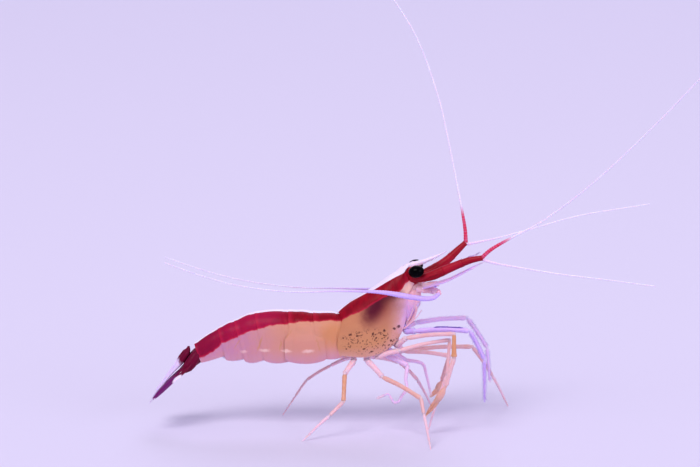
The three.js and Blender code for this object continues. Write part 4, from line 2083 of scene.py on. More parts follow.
@dataclass(frozen=True)
class Knuckle:
    """How an article swells: a neck at its root, and a rim before its closed end."""

    neck: float  # how much narrower its neck is
    neck_end: float  # the share along at which the neck ends
    rim: float  # how much wider its rim is
    rim_at: float
    rim_reach: float
    shut: float = 0.5  # how much narrower its very end is
    shut_from: float = 0.975

    def swell(self, share: float) -> float:
        """The article's width there, as a share of its plain width."""
        neck = 1 - self.neck * (1 - ease(share, 0.0, self.neck_end))
        rim = 1 + self.rim * hump(share, self.rim_at, self.rim_reach)
        return neck * rim * (1 - self.shut * ease(share, self.shut_from, 1.0))


@dataclass(frozen=True)
class Stem:
    """A stem of several articles, cut from one smooth line."""

    widths: Row  # half its thickness, evenly from its root to its end
    joints: Row  # the shares along at which its articles meet
    tones: Row  # each article's share of the rich colour
    knuckle: Knuckle
    before: float  # how far an article reaches back over the joint before it, in shares
    past: float  # how far it reaches past the joint after it
    steps: int
    sides: int
    flat: float

    def build(self, whole: Course) -> list[Piece]:
        """Draws the articles along a line.

        Args:
            whole: The stem's middle line.

        Returns:
            The articles, from the root out.
        """
        parts = []
        for start, end, tone in zip(self.joints, self.joints[1:], self.tones):
            parts.append(tube(
                "article", whole.cut(start - self.before, end + self.past, self.steps),
                lambda share: along(self.widths, mix(start, end, share)) * self.knuckle.swell(share),
                self.sides, AXIS_Z, self.flat, 2.3, lambda share: (tone, share, 0),
            ))
        return parts


@dataclass
class Article:
    """One stiff length of a leg, between two joints."""

    start: Vector
    end: Vector
    widths: tuple[float, float]  # half thickness at its near and far ends
    tone: float  # the rich colour's share
    bow: float = 0.02  # how far its middle is raised, as a share of its length
    begun: float = 0.0  # distance along the limb at its near end
    knuckle: Knuckle = Knuckle(0.34, 0.1, 0.14, 0.93, 0.1, 0.45)
    waist: float = 0.07  # how much narrower its middle is
    sides: int = 18
    steps: int = 22

    @property
    def length(self) -> float:
        """Its length from joint to joint."""
        return (self.end - self.start).length

    @property
    def ahead(self) -> Vector:
        """Its direction."""
        return (self.end - self.start).normalized()

    @cached_property
    def course(self) -> Course:
        """Its middle line."""
        rise = AXIS_Z - self.ahead * self.ahead.z
        middle = (self.start + self.end) / 2 + rise * self.length * self.bow
        return Course.over([self.start, middle, self.end], self.steps)

    def half(self, share: float) -> float:
        """Half its thickness, with a neck at its root and a knuckle at its end."""
        waist = 1 - self.waist * math.sin(math.pi * share)
        return mix(*self.widths, share) * waist * self.knuckle.swell(share)

    def build(self) -> Piece:
        """Draws the article.

        Returns:
            The article.
        """
        return tube(
            "article", self.course, self.half, self.sides,
            AXIS_X if abs(self.ahead.z) > 0.95 else AXIS_Z, power=2.15,
            marks=lambda share: (self.tone, share, self.begun + share * self.length),
        )


def joint_skin(middle: Vector, ahead: Vector, width: float, tone: float) -> Piece:
    """Draws the soft folded skin at a joint.

    Args:
        middle: The joint's middle.
        ahead: The limb's direction through it.
        width: Half the limb's thickness there.
        tone: The rich colour's share.

    Returns:
        The skin.
    """
    line = Course([middle + ahead * width * mix(-1, 1, i / 10) for i in range(11)])

    def half(share: float) -> float:
        """Half its thickness, with two folds."""
        round_end = math.sqrt(max(1 - (2 * share - 1) ** 2, 0.02))
        return width * 0.86 * round_end * (1 - 0.06 * math.cos(share * math.tau * 2))

    return tube("joint_skin", line, half, 12, ahead.orthogonal(), marks=lambda _: (tone, 0, 0))


@dataclass
class Lash:
    """A whip of fine rings with a waist between each ring and the next."""

    places: Sequence[Row]  # what its middle line passes
    pitch: float  # millimetres from ring to ring
    waist: float  # the width at a waist, as a share of the ring's
    sides: int
    rough: int  # steps of the line that it is measured along

    @cached_property
    def length(self) -> float:
        """Its length in millimetres."""
        return Course.over(self.places, self.rough).length

    @property
    def rings(self) -> int:
        """How many rings it has."""
        return round(self.length / self.pitch)

    @cached_property
    def course(self) -> Course:
        """Its middle line, with a step in each waist and in each ring."""
        return Course.over(self.places, self.rings * 2)

    def build(self, name: str, width: Rule, marks: Callable[[float], Row], kind: Mark) -> Piece:
        """Draws the lash.

        Args:
            name: Its name.
            width: Half its thickness at a ring, by the share along it.
            marks: The values to keep at its points, by the share along it.
            kind: What those values are.

        Returns:
            The lash.
        """

        def ringed(share: float) -> float:
            """Half its thickness, with the waists."""
            return width(share) * (1.0 if round(share * self.rings * 2) % 2 else self.waist)

        return tube(name, self.course, ringed, self.sides, AXIS_Y, marks=marks, kind=kind)


# ---------------------------------------------------------------- eyes, feelers' stems and mouth


@dataclass
class Eyes:
    """The two black eyes on their short stalks."""

    cornea: Material
    stalk: Material
    long: float = 1.2
    wide: float = 1.0
    high: float = 0.97
    narrowing: float = 0.16  # how much it is drawn in where it meets its stalk
    tilt: float = 0.1  # how far its front is raised
    stalk_steps: Rows = ((9.1, 0.25, 24.95), (9.6, 0.75, 25.1), (9.95, 1.5, 25.2), (10.1, 2.1, 25.28))
    stalk_widths: Row = (0.34, 0.36, 0.42, 0.56, 0.72, 0.8, 0.74)

    def ball(self, side: Side) -> Piece:
        """Shapes one eye from a sphere, longer than it is high and drawn in towards its stalk.

        Args:
            side: The animal's side.

        Returns:
            The eye.
        """
        deselect()
        bpy.ops.mesh.primitive_uv_sphere_add(segments=56, ring_count=36, radius=1.0)
        ball = bpy.context.object
        x, y, z = EYE_AT
        for vert in ball.data.vertices:
            # The sphere's poles lie across the body, so that its rings run round the stalk.
            ahead, up, out = vert.co
            narrow = 1 - self.narrowing * ease(-out, 0.2, 1.0)
            vert.co = at(
                x + self.long * ahead * narrow,
                (y + self.wide * out) * side.value,
                z + self.high * (up * narrow + self.tilt * ahead),
            )
        rename(ball, f"eye_ball_{side.word}")
        pick(ball)
        bpy.ops.object.mode_set(mode="EDIT")
        bpy.ops.mesh.select_all(action="SELECT")
        bpy.ops.mesh.normals_make_consistent(inside=False)
        bpy.ops.object.mode_set(mode="OBJECT")
        return ball

    def build(self) -> None:
        """Builds both eyes, and a stalk for each that swells into a cup behind it."""
        for side in Side:
            keep(self.ball(side), self.cornea, Slot.EYE, f"eye_{side.word}", angle=80)
            stem = tube(
                f"eye_stem_{side.word}", Course.over(side.turn(self.stalk_steps), 30),
                even(*self.stalk_widths), 28, power=2.2,
                marks=lambda share: (ease(share, 0.62, 0.9), 0.5, 0),
            )
            keep(stem, self.stalk, Slot.PALE, f"eye_stalk_{side.word}")


@dataclass
class Antennules:
    """The two crimson antennule stems, of three articles each, and the spine at each root."""

    finish: Material
    hair: Material
    right: Rows = (
        (9.3, -0.8, 23.7), (12.3, -1.5, 24.4), (14.7, -1.95, 25.5), (18.1, -2.6, 27.0),
        (20.3, -3.0, 27.55),
    )
    left: Rows = (
        (9.3, 0.8, 23.7), (10.9, 1.2, 24.0), (13.3, 1.8, 25.05), (15, 2.15, 26.2),
        (16.5, 2.5, 27.55), (17.9, 2.8, 28.85),
    )
    stem: Stem = Stem(
        (0.5, 0.72, 0.84, 0.78, 0.68, 0.58, 0.42), (0.0, 0.46, 0.72, 1.0), (1.0, 0.55, 1.0),
        Knuckle(0.12, 0.1, 0.05, 0.92, 0.1), 0.015, 0.012, 34, 26, 0.9,
    )
    steps: int = 120

    def bristles(self, whole: Course) -> list[Bristle]:
        """Grows a ring of short hairs at each article's far end.

        Args:
            whole: The stem's middle line.

        Returns:
            The hairs.
        """
        frames = whole.frames(AXIS_Z)
        grown = []
        for share in self.stem.joints[1:]:
            i = min(round(share * self.steps), self.steps - 1)
            for k in range(10):
                out = outwards(frames[i], math.tau * k / 10)
                root = whole.steps[i] + out * along(self.stem.widths, share) * 0.85
                tip = root + (whole.heading(i) + out * 0.5).normalized() * random.uniform(0.3, 0.5)
                grown.append(Bristle(root, tip, out * 0.03, 0.022, (share * 0.98, k / 10)))
        return grown

    def build(self) -> None:
        """Builds both stems and their hairs."""
        hairs = []
        for side in Side:
            whole = Course.over(self.right if side is Side.RIGHT else self.left, self.steps)
            out = AXIS_Y * side.value
            foot = whole.point(0.1) + out * 0.55
            tip = whole.point(0.42) + out * 1.05 + AXIS_Z * 0.12
            spine = thorn("side_spine", foot, foot.lerp(tip, 0.45) + out * 0.35, tip, 0.42, 0.5, 1.0)
            stem = join(f"antennule_stalk_{side.word}", [*self.stem.build(whole), spine])
            keep(stem, self.finish, Slot.RED, f"antennule_{side.word}")
            hairs += self.bristles(whole)
        keep(plant("antennule_hairs", hairs), self.hair, Slot.RED, "antennule_left")


@dataclass
class Antennae:
    """The antennae's jointed bases and their clear scales."""

    base_finish: Material
    scale_finish: Material
    hair: Material
    base: Rows = (
        (10.3, 0.75, 22.3), (11.25, 1.15, 22.25), (12.1, 1.8, 22.3), (12.9, 2.5, 22.4),
        (13.5, 3.15, 22.35), (13.65, 3.75, 22.1),
    )
    stem: Stem = Stem(
        (0.5, 0.56, 0.58, 0.52, 0.44, 0.38, 0.32), (0.0, 0.3, 0.62, 0.84, 1.0),
        (0.35, 0.55, 0.35, 0.55), Knuckle(0.25, 0.18, 0.08, 0.85, 0.2, 0.5, 0.94),
        0.03, 0.02, 18, 24, 0.92,
    )
    scale: Rows = ((11.3, 2.45, 22.75), (13.3, 3.2, 23.55), (15.3, 3.7, 24.35), (19.6, 4.3, 26.7))
    scale_half: Row = (0.5, 0.92, 1.18, 1.28, 1.3, 1.24, 1.1, 0.82, 0.3)
    scale_thick: Row = (0.18, 0.13, 0.1, 0.09, 0.07)
    scale_facing: Row = (-0.4, -0.06, 0.92)  # which way the left scale's upper face looks

    def jointed_base(self, side: Side) -> Piece:
        """Draws one base of four short articles, with its spine.

        Args:
            side: The animal's side.

        Returns:
            The base.
        """
        whole = Course.over(side.turn(self.base), 100)
        foot = whole.point(0.45) + Vector((0.2, 0.3 * side.value, -0.35))
        tip = foot + Vector((0.95, 0.5 * side.value, -0.12))
        spine = thorn("base_spine", foot, foot.lerp(tip, 0.5) - AXIS_Z * 0.12, tip, 0.17, 1.0, 0.2)
        return join(f"antenna_jointed_base_{side.word}", [*self.stem.build(whole), spine])

    def rim(self, blade: Blade, out: int) -> list[Piece]:
        """Draws a scale's stiff outer rim and the tooth at its end.

        Args:
            blade: The scale.
            out: Which way across it is outwards.

        Returns:
            The rim and the tooth.
        """
        line = Course([blade.edge(mix(0.03, 0.9, k / 40), out * 0.93) for k in range(41)])
        *_, before, foot, end = line.steps
        ahead = (end - before).normalized()
        return [
            tube(
                "scale_rim", line, lambda share: 0.13 * (1 - 0.4 * share), 12,
                marks=lambda _: (0.4, 0, 0), kind=Mark.BLADE,
            ),
            thorn("scale_tooth", foot, end + ahead * 0.2, end + ahead * 0.75, 0.14),
        ]

    def build(self) -> None:
        """Builds both bases, both scales and the scales' fringes."""
        for side in Side:
            keep(self.jointed_base(side), self.base_finish, Slot.PALE, f"antenna_base_{side.word}")
            blade = Blade(
                Course.over(side.turn(self.scale), 48), Vector(side.turn([self.scale_facing])[0]),
                even(*self.scale_half), even(*self.scale_thick), 0.05, 0.08,
            )
            out = 1 if blade.frames[0][0].y * side.value > 0 else -1
            scale = join(f"antenna_clear_scale_{side.word}", [blade.build("scale"), *self.rim(blade, out)])
            keep(scale, self.scale_finish, Slot.PALE, f"antenna_scale_{side.word}")
            fringe = plant(
                f"antenna_scale_fringe_{side.word}", blade.fringe(90, 0.85, 0.12, sides=(-out,))
            )
            keep(fringe, self.hair, Slot.PALE, f"antenna_scale_{side.word}")


@dataclass
class Mouth:
    """The mouth's lip, its overlapping leaves, and its folded palps and thin lashes."""

    finish: Material
    leaf_finish: Material
    hair: Material
    lip: Rows = ((9.2, 0, 22.6), (9.75, 0, 21.2), (9.6, 0, 19.6), (9.0, 0, 18.2), (8.2, 0, 17.2))
    leaves: tuple[tuple[float, Rows], ...] = (  # each leaf's half width and middle line
        (1.05, ((9.45, 0.95, 22.6), (9.85, 1.3, 20.9), (9.3, 1.35, 18.9), (8.7, 1.2, 17.0))),
        (0.8, ((9.9, 0.7, 22.3), (10.25, 0.95, 21.0), (9.75, 1.0, 19.2), (9.1, 0.95, 17.5))),
        (0.55, ((10.2, 0.4, 22.0), (10.4, 0.55, 21.1), (10.0, 0.6, 19.8), (9.4, 0.6, 18.3))),
    )
    leaf_shape: Row = (0.75, 1.0, 1.0, 0.85, 0.68, 0.5, 0.2)
    leaf_thick: Row = (0.16, 0.14, 0.1, 0.08)
    palps: tuple[tuple[float, Rows], ...] = (  # each palp's and lash's half thickness and middle line
        (0.3, (
            (8.6, 1.1, 16.6), (9.6, 1.45, 17.6), (10.2, 1.3, 19.0), (10.1, 0.85, 20.0),
            (9.8, 0.45, 19.3),
        )),
        (0.3, (
            (8.9, 0.7, 17.2), (9.8, 0.95, 18.3), (10.3, 0.85, 19.6), (10.3, 0.5, 20.5),
            (10.0, 0.25, 19.9),
        )),
        (0.13, ((8.7, 1.5, 16.9), (9.3, 1.9, 18.2), (9.9, 2.15, 19.8), (10.5, 2.1, 21.1))),
        (0.13, ((8.3, 1.7, 16.2), (9.1, 2.2, 17.0), (10.1, 2.6, 18.0), (11.0, 2.7, 19.3))),
    )

    def palp(self, course: Course, thick: float) -> Piece:
        """Draws one palp, which thins to its tip, with three slight waists.

        Args:
            course: Its middle line.
            thick: Half its thickness at the root.

        Returns:
            The palp.
        """

        def half(share: float) -> float:
            """Half its thickness."""
            return thick * (1 - 0.6 * share) * (1 - 0.14 * hump((share * 4) % 1, 0.0, 0.16))

        return tube("palp", course, half, 14, marks=lambda _: (0.2, 0.5, 0))

    def palp_hairs(self, course: Course) -> list[Bristle]:
        """Grows hairs in a spiral round a palp's outer part.

        Args:
            course: The palp's middle line.

        Returns:
            The hairs.
        """
        frames = course.frames(AXIS_Z)
        grown = []
        for k in range(30):
            i = 14 + k * 26 // 30
            root, out = course.steps[i], outwards(frames[i], k * SPIRAL)
            tip = root + (course.heading(i) + out).normalized() * 0.4
            grown.append(Bristle(root, tip, out * 0.03, 0.02, (course.share(i), k % 7 / 7)))
        return grown

    def build(self) -> None:
        """Builds the lip, leaves, palps and lashes, with their hairs."""
        lip = tube(
            "mouth_lip", Course.over(self.lip, 30), even(0.7, 0.95, 0.9, 0.75, 0.4), 24, AXIS_X,
            0.62, 2.3, lambda _: (0.3, 0.5, 0),
        )
        keep(lip, self.finish, Slot.PALE, "mouthparts")
        hairs = []
        for side in Side:
            leaves, limbs = [], []
            for half, rows in self.leaves:
                blade = Blade(
                    Course.over(side.turn(rows), 34), Vector((0.25, side.value, 0.1)),
                    even(*(half * part for part in self.leaf_shape)), even(*self.leaf_thick),
                    -0.18, 0.08, 28,
                )
                leaves.append(blade.build("mouth_leaf"))
                front = -1 if blade.frames[0][0].x < 0 else 1
                hairs += blade.fringe(40, 0.42, 0.25, end=False, width=0.022, sides=(front,))
            for thick, rows in self.palps:
                course = Course.over(side.turn(rows), 40)
                limbs.append(self.palp(course, thick))
                hairs += self.palp_hairs(course)
            leaf = join(f"mouth_leaves_{side.word}", leaves)
            keep(leaf, self.leaf_finish, Slot.PALE, "mouthparts")
            keep(join(f"mouth_palps_{side.word}", limbs), self.finish, Slot.PALE, "mouthparts")
        keep(plant("mouth_hairs", hairs), self.hair, Slot.PALE, "mouthparts")


# ---------------------------------------------------------------- legs and third maxillipeds


class End(Enum):
    """How a limb ends."""

    FOOT = "a hooked foot on the floor"
    NIPPER = "a hand with two fingers"
    BRUSH = "a blunt tip with bristle combs"
    LASH = "a ringed, curling wrist with a tiny nipper"


@dataclass(frozen=True)
class Plan:
    """One limb: its joints, the half thickness at each, and each article's rich share."""

    node: str
    joints: Rows
    halves: Row
    tones: Row
    end: End
    orange: bool = True
    hair_every: float = 0.34  # millimetres between the hairs of a row
    hair_length: float = 0.24
    comb: bool = False  # whether its longest article has a close dark comb


FOOT_HALVES = (0.5, 0.38, 0.33, 0.25, 0.15)
LONG_FOOT_HALVES = (0.5, 0.34, 0.28, 0.24, 0.2, 0.13)

# The far left legs 1, 4 and 5 have lower rich shares than their right partners, so they are paler: partly
# their own colour, partly painted light that lifts them against the shade under the body.
LIMBS = (
    Plan(
        "maxilliped_right",
        ((8.6, -1.3, 15.7), (10, -2.1, 15.9), (18.35, -4.2, 16.4), (20.6, -4.6, 12), (20.7, -4.5, 5.4)),
        (0.5, 0.44, 0.36, 0.3, 0.13), (0.1, 0.0, 0.15, 0.1), End.BRUSH, False, 0.3, 0.4, True,
    ),
    Plan(
        "maxilliped_left",
        ((8.6, 1.3, 15.7), (10, 2.1, 16.3), (18.3, 4.3, 16.65), (21.5, 4.9, 11.8), (22, 4.7, 6.4)),
        (0.5, 0.42, 0.35, 0.29, 0.13), (0.1, 0.0, 0.05, 0.0), End.BRUSH, False, 0.3, 0.4,
    ),
    Plan(
        "leg_1_right",
        ((7.2, -1.6, 13.5), (8.6, -3.1, 15), (15.9, -5.5, 16.2), (15.9, -5.9, 12.6), (14.7, -6.1, 8.2)),
        (0.52, 0.38, 0.3, 0.42, 0.32), (0.15, 0.35, 1.0, 0.35), End.NIPPER,
    ),
    Plan(
        "leg_1_left",
        ((7.2, 1.6, 13.3), (8.3, 2.5, 11.7), (15.6, 4.2, 10.6), (14.6, 7.9, 5.8)),
        (0.5, 0.36, 0.32, 0.32), (0.15, 0.35, 0.5), End.NIPPER,
    ),
    Plan(
        "leg_2_right",
        (
            (5.8, -1.3, 11.9), (8.9, -2.6, 10.6), (8.6, -3.5, 8.7), (8.7, -4, 7.2), (8, -4.2, 6.2),
            (7.5, -4.2, 5.3), (6.8, -4, 5.1), (6.35, -3.8, 5.7), (5.9, -3.6, 6.3), (5.2, -3.5, 6.05),
        ),
        (0.55, 0.34, 0.3, 0.27, 0.25, 0.23, 0.21, 0.19, 0.17, 0.16), (0.1, 0.15), End.LASH, False,
    ),
    Plan(
        "leg_2_left",
        ((5.8, 1.5, 12.2), (8.6, 2.6, 10.3), (11.3, 3.4, 9.5), (12, 3.7, 7.5), (12.5, 3.6, 5.4)),
        (0.55, 0.34, 0.28, 0.24, 0.18), (0.1, 0.2), End.LASH, False,
    ),
    Plan(
        "leg_3_right",
        (
            (4.2, -1.9, 11.8), (7.6, -3.3, 13.1), (15.3, -4.2, 15), (14.9, -4.2, 9.5),
            (13.2, -4, 4.5), (11.9, -3.8, 0),
        ),
        LONG_FOOT_HALVES, (0.15, 0.3, 0.35, 0.15, 0.0), End.FOOT,
    ),
    Plan(
        "leg_3_left",
        ((4.3, 1.7, 11.7), (8.2, 4.5, 11.25), (19.4, 9, 11), (22.7, 11.5, 5.8), (25.5, 14.4, 0)),
        FOOT_HALVES, (0.2, 0.45, 0.4, 0.1), End.FOOT,
    ),
    Plan(
        "leg_4_right",
        ((2.6, -1.7, 11.2), (5, -4.5, 9.2), (10.8, -9, 6.9), (11.2, -10, 4.8), (12.2, -13, 0)),
        FOOT_HALVES, (0.1, 0.6, 0.4, 0.1), End.FOOT,
    ),
    Plan(
        "leg_4_left", ((2.6, 1.7, 11.2), (7.7, 5.2, 9.4), (10.7, 9.2, 5.6), (13.4, 12, 0)),
        (0.5, 0.32, 0.26, 0.14), (0.1, 0.2, 0.05), End.FOOT,
    ),
    Plan(
        "leg_5_right",
        ((0.6, -1.7, 11.1), (-0.8, -4, 9.6), (-1, -6, 5.7), (-3.1, -6.7, 3.7), (-7.3, -8.1, 0)),
        FOOT_HALVES, (0.15, 0.9, 0.3, 0.05), End.FOOT,
    ),
    Plan(
        "leg_5_left",
        ((0.6, 1.7, 11.1), (-3, 4.4, 9), (-6.8, 6.5, 6.2), (-8.6, 7.4, 3.4), (-10.7, 8.3, 0)),
        (0.4, 0.24, 0.21, 0.16, 0.11), (0.1, 0.3, 0.25, 0.1), End.FOOT,
    ),
)


@dataclass(frozen=True)
class Hand:
    """A nipper of the first legs: a palm and two fingers."""

    node: str
    places: Rows  # what its middle line passes
    facing: Row  # the direction that its back looks in
    palm: Row = (0.2, 0.24, 0.5, 0.58, 0.54, 0.4)
    finger: Row = (0.3, 0.27, 0.23, 0.18, 0.12, 0.03)
    palm_end: float = 0.5
    gape: float = 0.16
    tone: float = 0.65
    steps: int = 80

    @cached_property
    def whole(self) -> Course:
        """Its middle line."""
        return Course.over(self.places, self.steps)

    @cached_property
    def frames(self) -> list[Frame]:
        """The direction that the fingers part in, and the back's, at each step."""
        return self.whole.frames(Vector(self.facing))

    def digit(self, sign: int) -> list[Piece]:
        """Draws one finger and the small teeth along its inner edge.

        Args:
            sign: Which side of the middle line it is on.

        Returns:
            The finger and its teeth.
        """
        line = []
        for k in range(37):
            share = mix(self.palm_end - 0.1, 1.0, k / 36)
            bow = (1 + 0.35 * math.sin(math.pi * k / 36)) * (1 - 0.75 * (k / 36) ** 3)
            out = self.frames[round(share * self.steps)][0] * sign
            line.append(self.whole.point(share) + out * self.gape * bow)
        parts = [tube(
            "finger", Course(line), even(*self.finger), 16, self.frames[60][1], 0.85,
            marks=lambda share: (mix(self.tone, 1.0, share), 0.5, 0),
        )]
        for k in range(7):
            i = 62 + k * 2
            out = self.frames[i][0] * sign
            foot = self.whole.steps[i] + out * self.gape * (0.75 - 0.06 * k)
            tip = foot - out * 0.11 + self.whole.heading(i) * 0.03
            parts.append(thorn("bite", foot, foot.lerp(tip, 0.5), tip, 0.045, 1.0, 1.0, 4, 6))
        return parts

    def build(self) -> Piece:
        """Draws the palm and its two fingers, which nearly meet.

        Returns:
            The nipper.
        """
        palm = tube(
            "palm", self.whole.cut(0, self.palm_end, 36), even(*self.palm), 24, self.frames[0][1],
            0.78, 2.2, lambda _: (self.tone, 0.5, 0),
        )
        return join(self.node.replace("claw", "nipper"), [palm, *self.digit(-1), *self.digit(1)])

    def hairs(self) -> list[Bristle]:
        """Grows fine hairs in a spiral round the nipper.

        Returns:
            The hairs.
        """
        grown = []
        for k in range(90):
            share = mix(0.25, 0.97, k / 89)
            i = round(share * self.steps)
            out = outwards(self.frames[i], k * SPIRAL)
            root = self.whole.steps[i] + out * mix(0.5, 0.22, ease(share, 0.3, 1.0)) * 0.85
            tip = root + (out + self.whole.heading(i) * 1.2).normalized() * random.uniform(0.2, 0.36)
            place = (share, (k * SPIRAL / math.tau) % 1)
            grown.append(Bristle(root, tip, out * 0.03, FINE_HAIR, place))
        return grown


HANDS = (
    Hand(
        "claw_right", ((14.74, -6.1, 8.3), (13.7, -5.9, 6.4), (12.7, -5.5, 4.8), (11.6, -5.17, 3.25)),
        (0, 1, 0),
    ),
    Hand(
        "claw_left", ((14.62, 7.9, 5.85), (13.8, 6.8, 4.5), (13.2, 6, 4.1), (12.6, 5.1, 3.75)),
        (1, -1, 0),
    ),
)


@dataclass
class Limbs:
    """The legs, their nippers and the third maxillipeds."""

    orange: Material
    pale: Material
    brush: Material
    hair: Material
    pale_hair: Material
    dactyl: float = 1.25  # length of a foot's hooked last article
    dip: float = 0.25  # how far a foot is drawn below the floor before its flat is cut
    bare: float = 0.6  # how high above the floor's level the hairs begin
    comb_count: int = 110
    comb_reach: tuple[float, float] = (0.34, 0.84)  # the shares along that the comb covers

    def articles(self, plan: Plan) -> list[Article]:
        """Lays out the limb's stiff lengths, from inside the body out.

        Args:
            plan: The limb.

        Returns:
            The articles.
        """
        points, halves, tones = [Vector(j) for j in plan.joints], plan.halves, plan.tones
        if plan.end is End.FOOT:
            ahead = (points[-1] - points[-2]).normalized()
            points[-1:] = [points[-1] - ahead * self.dactyl, points[-1] + ahead * self.dip]
            halves, tones = (*halves, halves[-1] * 0.55), (*tones, tones[-1])
        if plan.end is End.LASH:
            points, halves = points[:2], halves[:2]
        x, y, z = plan.joints[0]
        inner = Vector((x - 0.15, y * 0.72, z + 1.15))
        made = [Article(inner, points[0], (halves[0], halves[0] * 0.95), tones[0])]
        begun = 0.0
        for start, end, near, far, tone in zip(points, points[1:], halves, halves[1:], tones):
            length = (end - start).length
            made.append(Article(start, end, (near, far), tone, 0.025 if length > 3 else 0.0, begun))
            begun += length
        return made

    def lash(self, plan: Plan) -> list[Piece]:
        """Draws the ringed wrist of a second leg, with its tiny nipper.

        Args:
            plan: The limb.

        Returns:
            The wrist, the palm and the two fingers.
        """
        lash = Lash(plan.joints[1:], 0.3, 0.88, 14, 60)
        course = lash.course
        end, ahead = course.steps[-1], course.heading(len(course.steps) - 1)
        side = course.frames(AXIS_Y)[-1][0]
        palm = Course([end - ahead * 0.1, end + ahead * 0.35, end + ahead * 0.75])
        made = [
            lash.build(
                "lash", even(*plan.halves[1:]), lambda share: (plan.tones[-1], 0.5, share * lash.length),
                Mark.TONE,
            ),
            tube("palm", palm, lambda share: 0.2 - 0.03 * share, 12, AXIS_Y, 0.8),
        ]
        for sign in (-1, 1):
            foot = end + ahead * 0.65 + side * 0.09 * sign
            tip = end + ahead * 1.35 + side * 0.04 * sign
            bend = foot.lerp(tip, 0.5) + side * 0.12 * sign
            made.append(thorn("tiny_finger", foot, bend, tip, 0.1, 0.8, 0.7))
        return made

    def tip_spines(self, last: Article) -> list[Piece]:
        """Draws the short spines at a third maxilliped's tip.

        Args:
            last: Its last article.

        Returns:
            The spines.
        """
        side = last.ahead.orthogonal().normalized()
        made = []
        for k in range(6):
            out = Matrix.Rotation(math.tau * k / 6, 3, last.ahead) @ side
            foot = last.end - last.ahead * 0.12 + out * 0.05
            tip = foot + last.ahead * 0.32 + out * 0.14
            made.append(thorn("tip_spine", foot, foot.lerp(tip, 0.5), tip, 0.045, rings=5, sides=6))
        return made

    def hairs(self, plan: Plan, articles: Sequence[Article]) -> list[Bristle]:
        """Grows rows of fine hairs along the articles, closer on the last two of a brush.

        Args:
            plan: The limb.
            articles: Its articles, from inside the body out.

        Returns:
            The hairs.
        """
        grown = []
        total = sum(article.length for article in articles)
        for n, article in enumerate(articles[1:], 1):
            course, length = article.course, article.length
            frames = course.frames(AXIS_X if n > 2 else AXIS_Z)
            brush = plan.end is End.BRUSH and n >= 3
            rows, every, longer = (6, 0.2, 1.25) if brush else (3, plan.hair_every, 1.0)
            for row in range(rows):
                for k in range(int(length / every)):
                    share = 0.06 + 0.9 * (k + random.random() * 0.8) * every / length
                    i = min(int(share * article.steps), article.steps - 1)
                    angle = math.tau * row / rows + n + random.uniform(-0.25, 0.25)
                    long = plan.hair_length * random.uniform(0.6, 1.2) * longer
                    out = outwards(frames[i], angle)
                    root = course.point(share) + out * article.half(share) * 0.9
                    if root.z < self.bare:
                        continue
                    tip = root + (out + course.heading(i) * 0.9).normalized() * long
                    place = ((article.begun + share * length) / total, (angle / math.tau) % 1)
                    grown.append(Bristle(root, tip, out * 0.05 * long, FINE_HAIR, place))
        if plan.comb:
            grown += self.comb(articles[2], total)
        return grown

    def comb(self, article: Article, total: float) -> list[Bristle]:
        """Grows the close comb along the upper edge of a brush's longest article.

        Args:
            article: The article.
            total: The limb's whole length.

        Returns:
            The comb's bristles.
        """
        course = article.course
        frames = course.frames(AXIS_Z)
        grown = []
        for k in range(self.comb_count):
            share = mix(*self.comb_reach, (k + 0.5) / self.comb_count)
            i = int(share * article.steps)
            side, up = frames[i]
            root = course.point(share) + up * article.half(share) * 0.85
            root += side * random.uniform(-0.14, 0.14)
            tip = root + (up * 0.4 + course.heading(i)).normalized() * random.uniform(0.45, 0.65)
            place = ((article.begun + share * article.length) / total, 0.25)
            grown.append(Bristle(root, tip, up * 0.05, 0.03, place))
        return grown

    def limb(self, plan: Plan) -> None:
        """Builds one limb, its joints' skin and its hairs.

        Args:
            plan: The limb.
        """
        articles = self.articles(plan)
        parts = [article.build() for article in articles]
        for near, far in zip(articles, articles[1:]):
            width = min(near.widths[1], far.widths[0]) * 0.98
            parts.append(joint_skin(near.end, (near.ahead + far.ahead).normalized(), width, near.tone / 2))
        if plan.end is End.LASH:
            parts += self.lash(plan)
        if plan.end is End.BRUSH:
            parts += self.tip_spines(articles[-1])
        shape = join(plan.node.replace("leg_", "walking_leg_") + "_articles", parts)
        if plan.end is End.FOOT:
            trim_to_floor(shape)
        if plan.orange:
            look, hair, slot = self.orange, self.hair, Slot.ORANGE_LEG
        else:
            look, hair, slot = self.brush if plan.comb else self.pale, self.pale_hair, Slot.PALE_LEG
        keep(shape, look, slot, plan.node)
        keep(plant(plan.node + "_hairs", self.hairs(plan, articles)), hair, slot, plan.node)

    def build(self) -> None:
        """Builds every limb and both nippers."""
        for plan in LIMBS:
            self.limb(plan)
        for hand in HANDS:
            keep(hand.build(), self.orange, Slot.ORANGE_LEG, hand.node)
            keep(plant(hand.node + "_hairs", hand.hairs()), self.hair, Slot.ORANGE_LEG, hand.node)


# ---------------------------------------------------------------- feelers


class Whip(Enum):
    """The kinds of feeler, each with pairs of a distance along it and half its thickness there."""

    OUTER = ((0, 0.34), (3.5, 0.26), (6, 0.17), (20, 0.14), (60, 0.1), (90, 0.07))
    INNER = ((0, 0.26), (3, 0.16), (15, 0.11), (40, 0.07))
    ANTENNA = (
        (0, 0.3), (3, 0.43), (6.5, 0.45), (9.7, 0.3), (12.8, 0.17), (18, 0.12), (45, 0.08),
        (60, 0.06),
    )


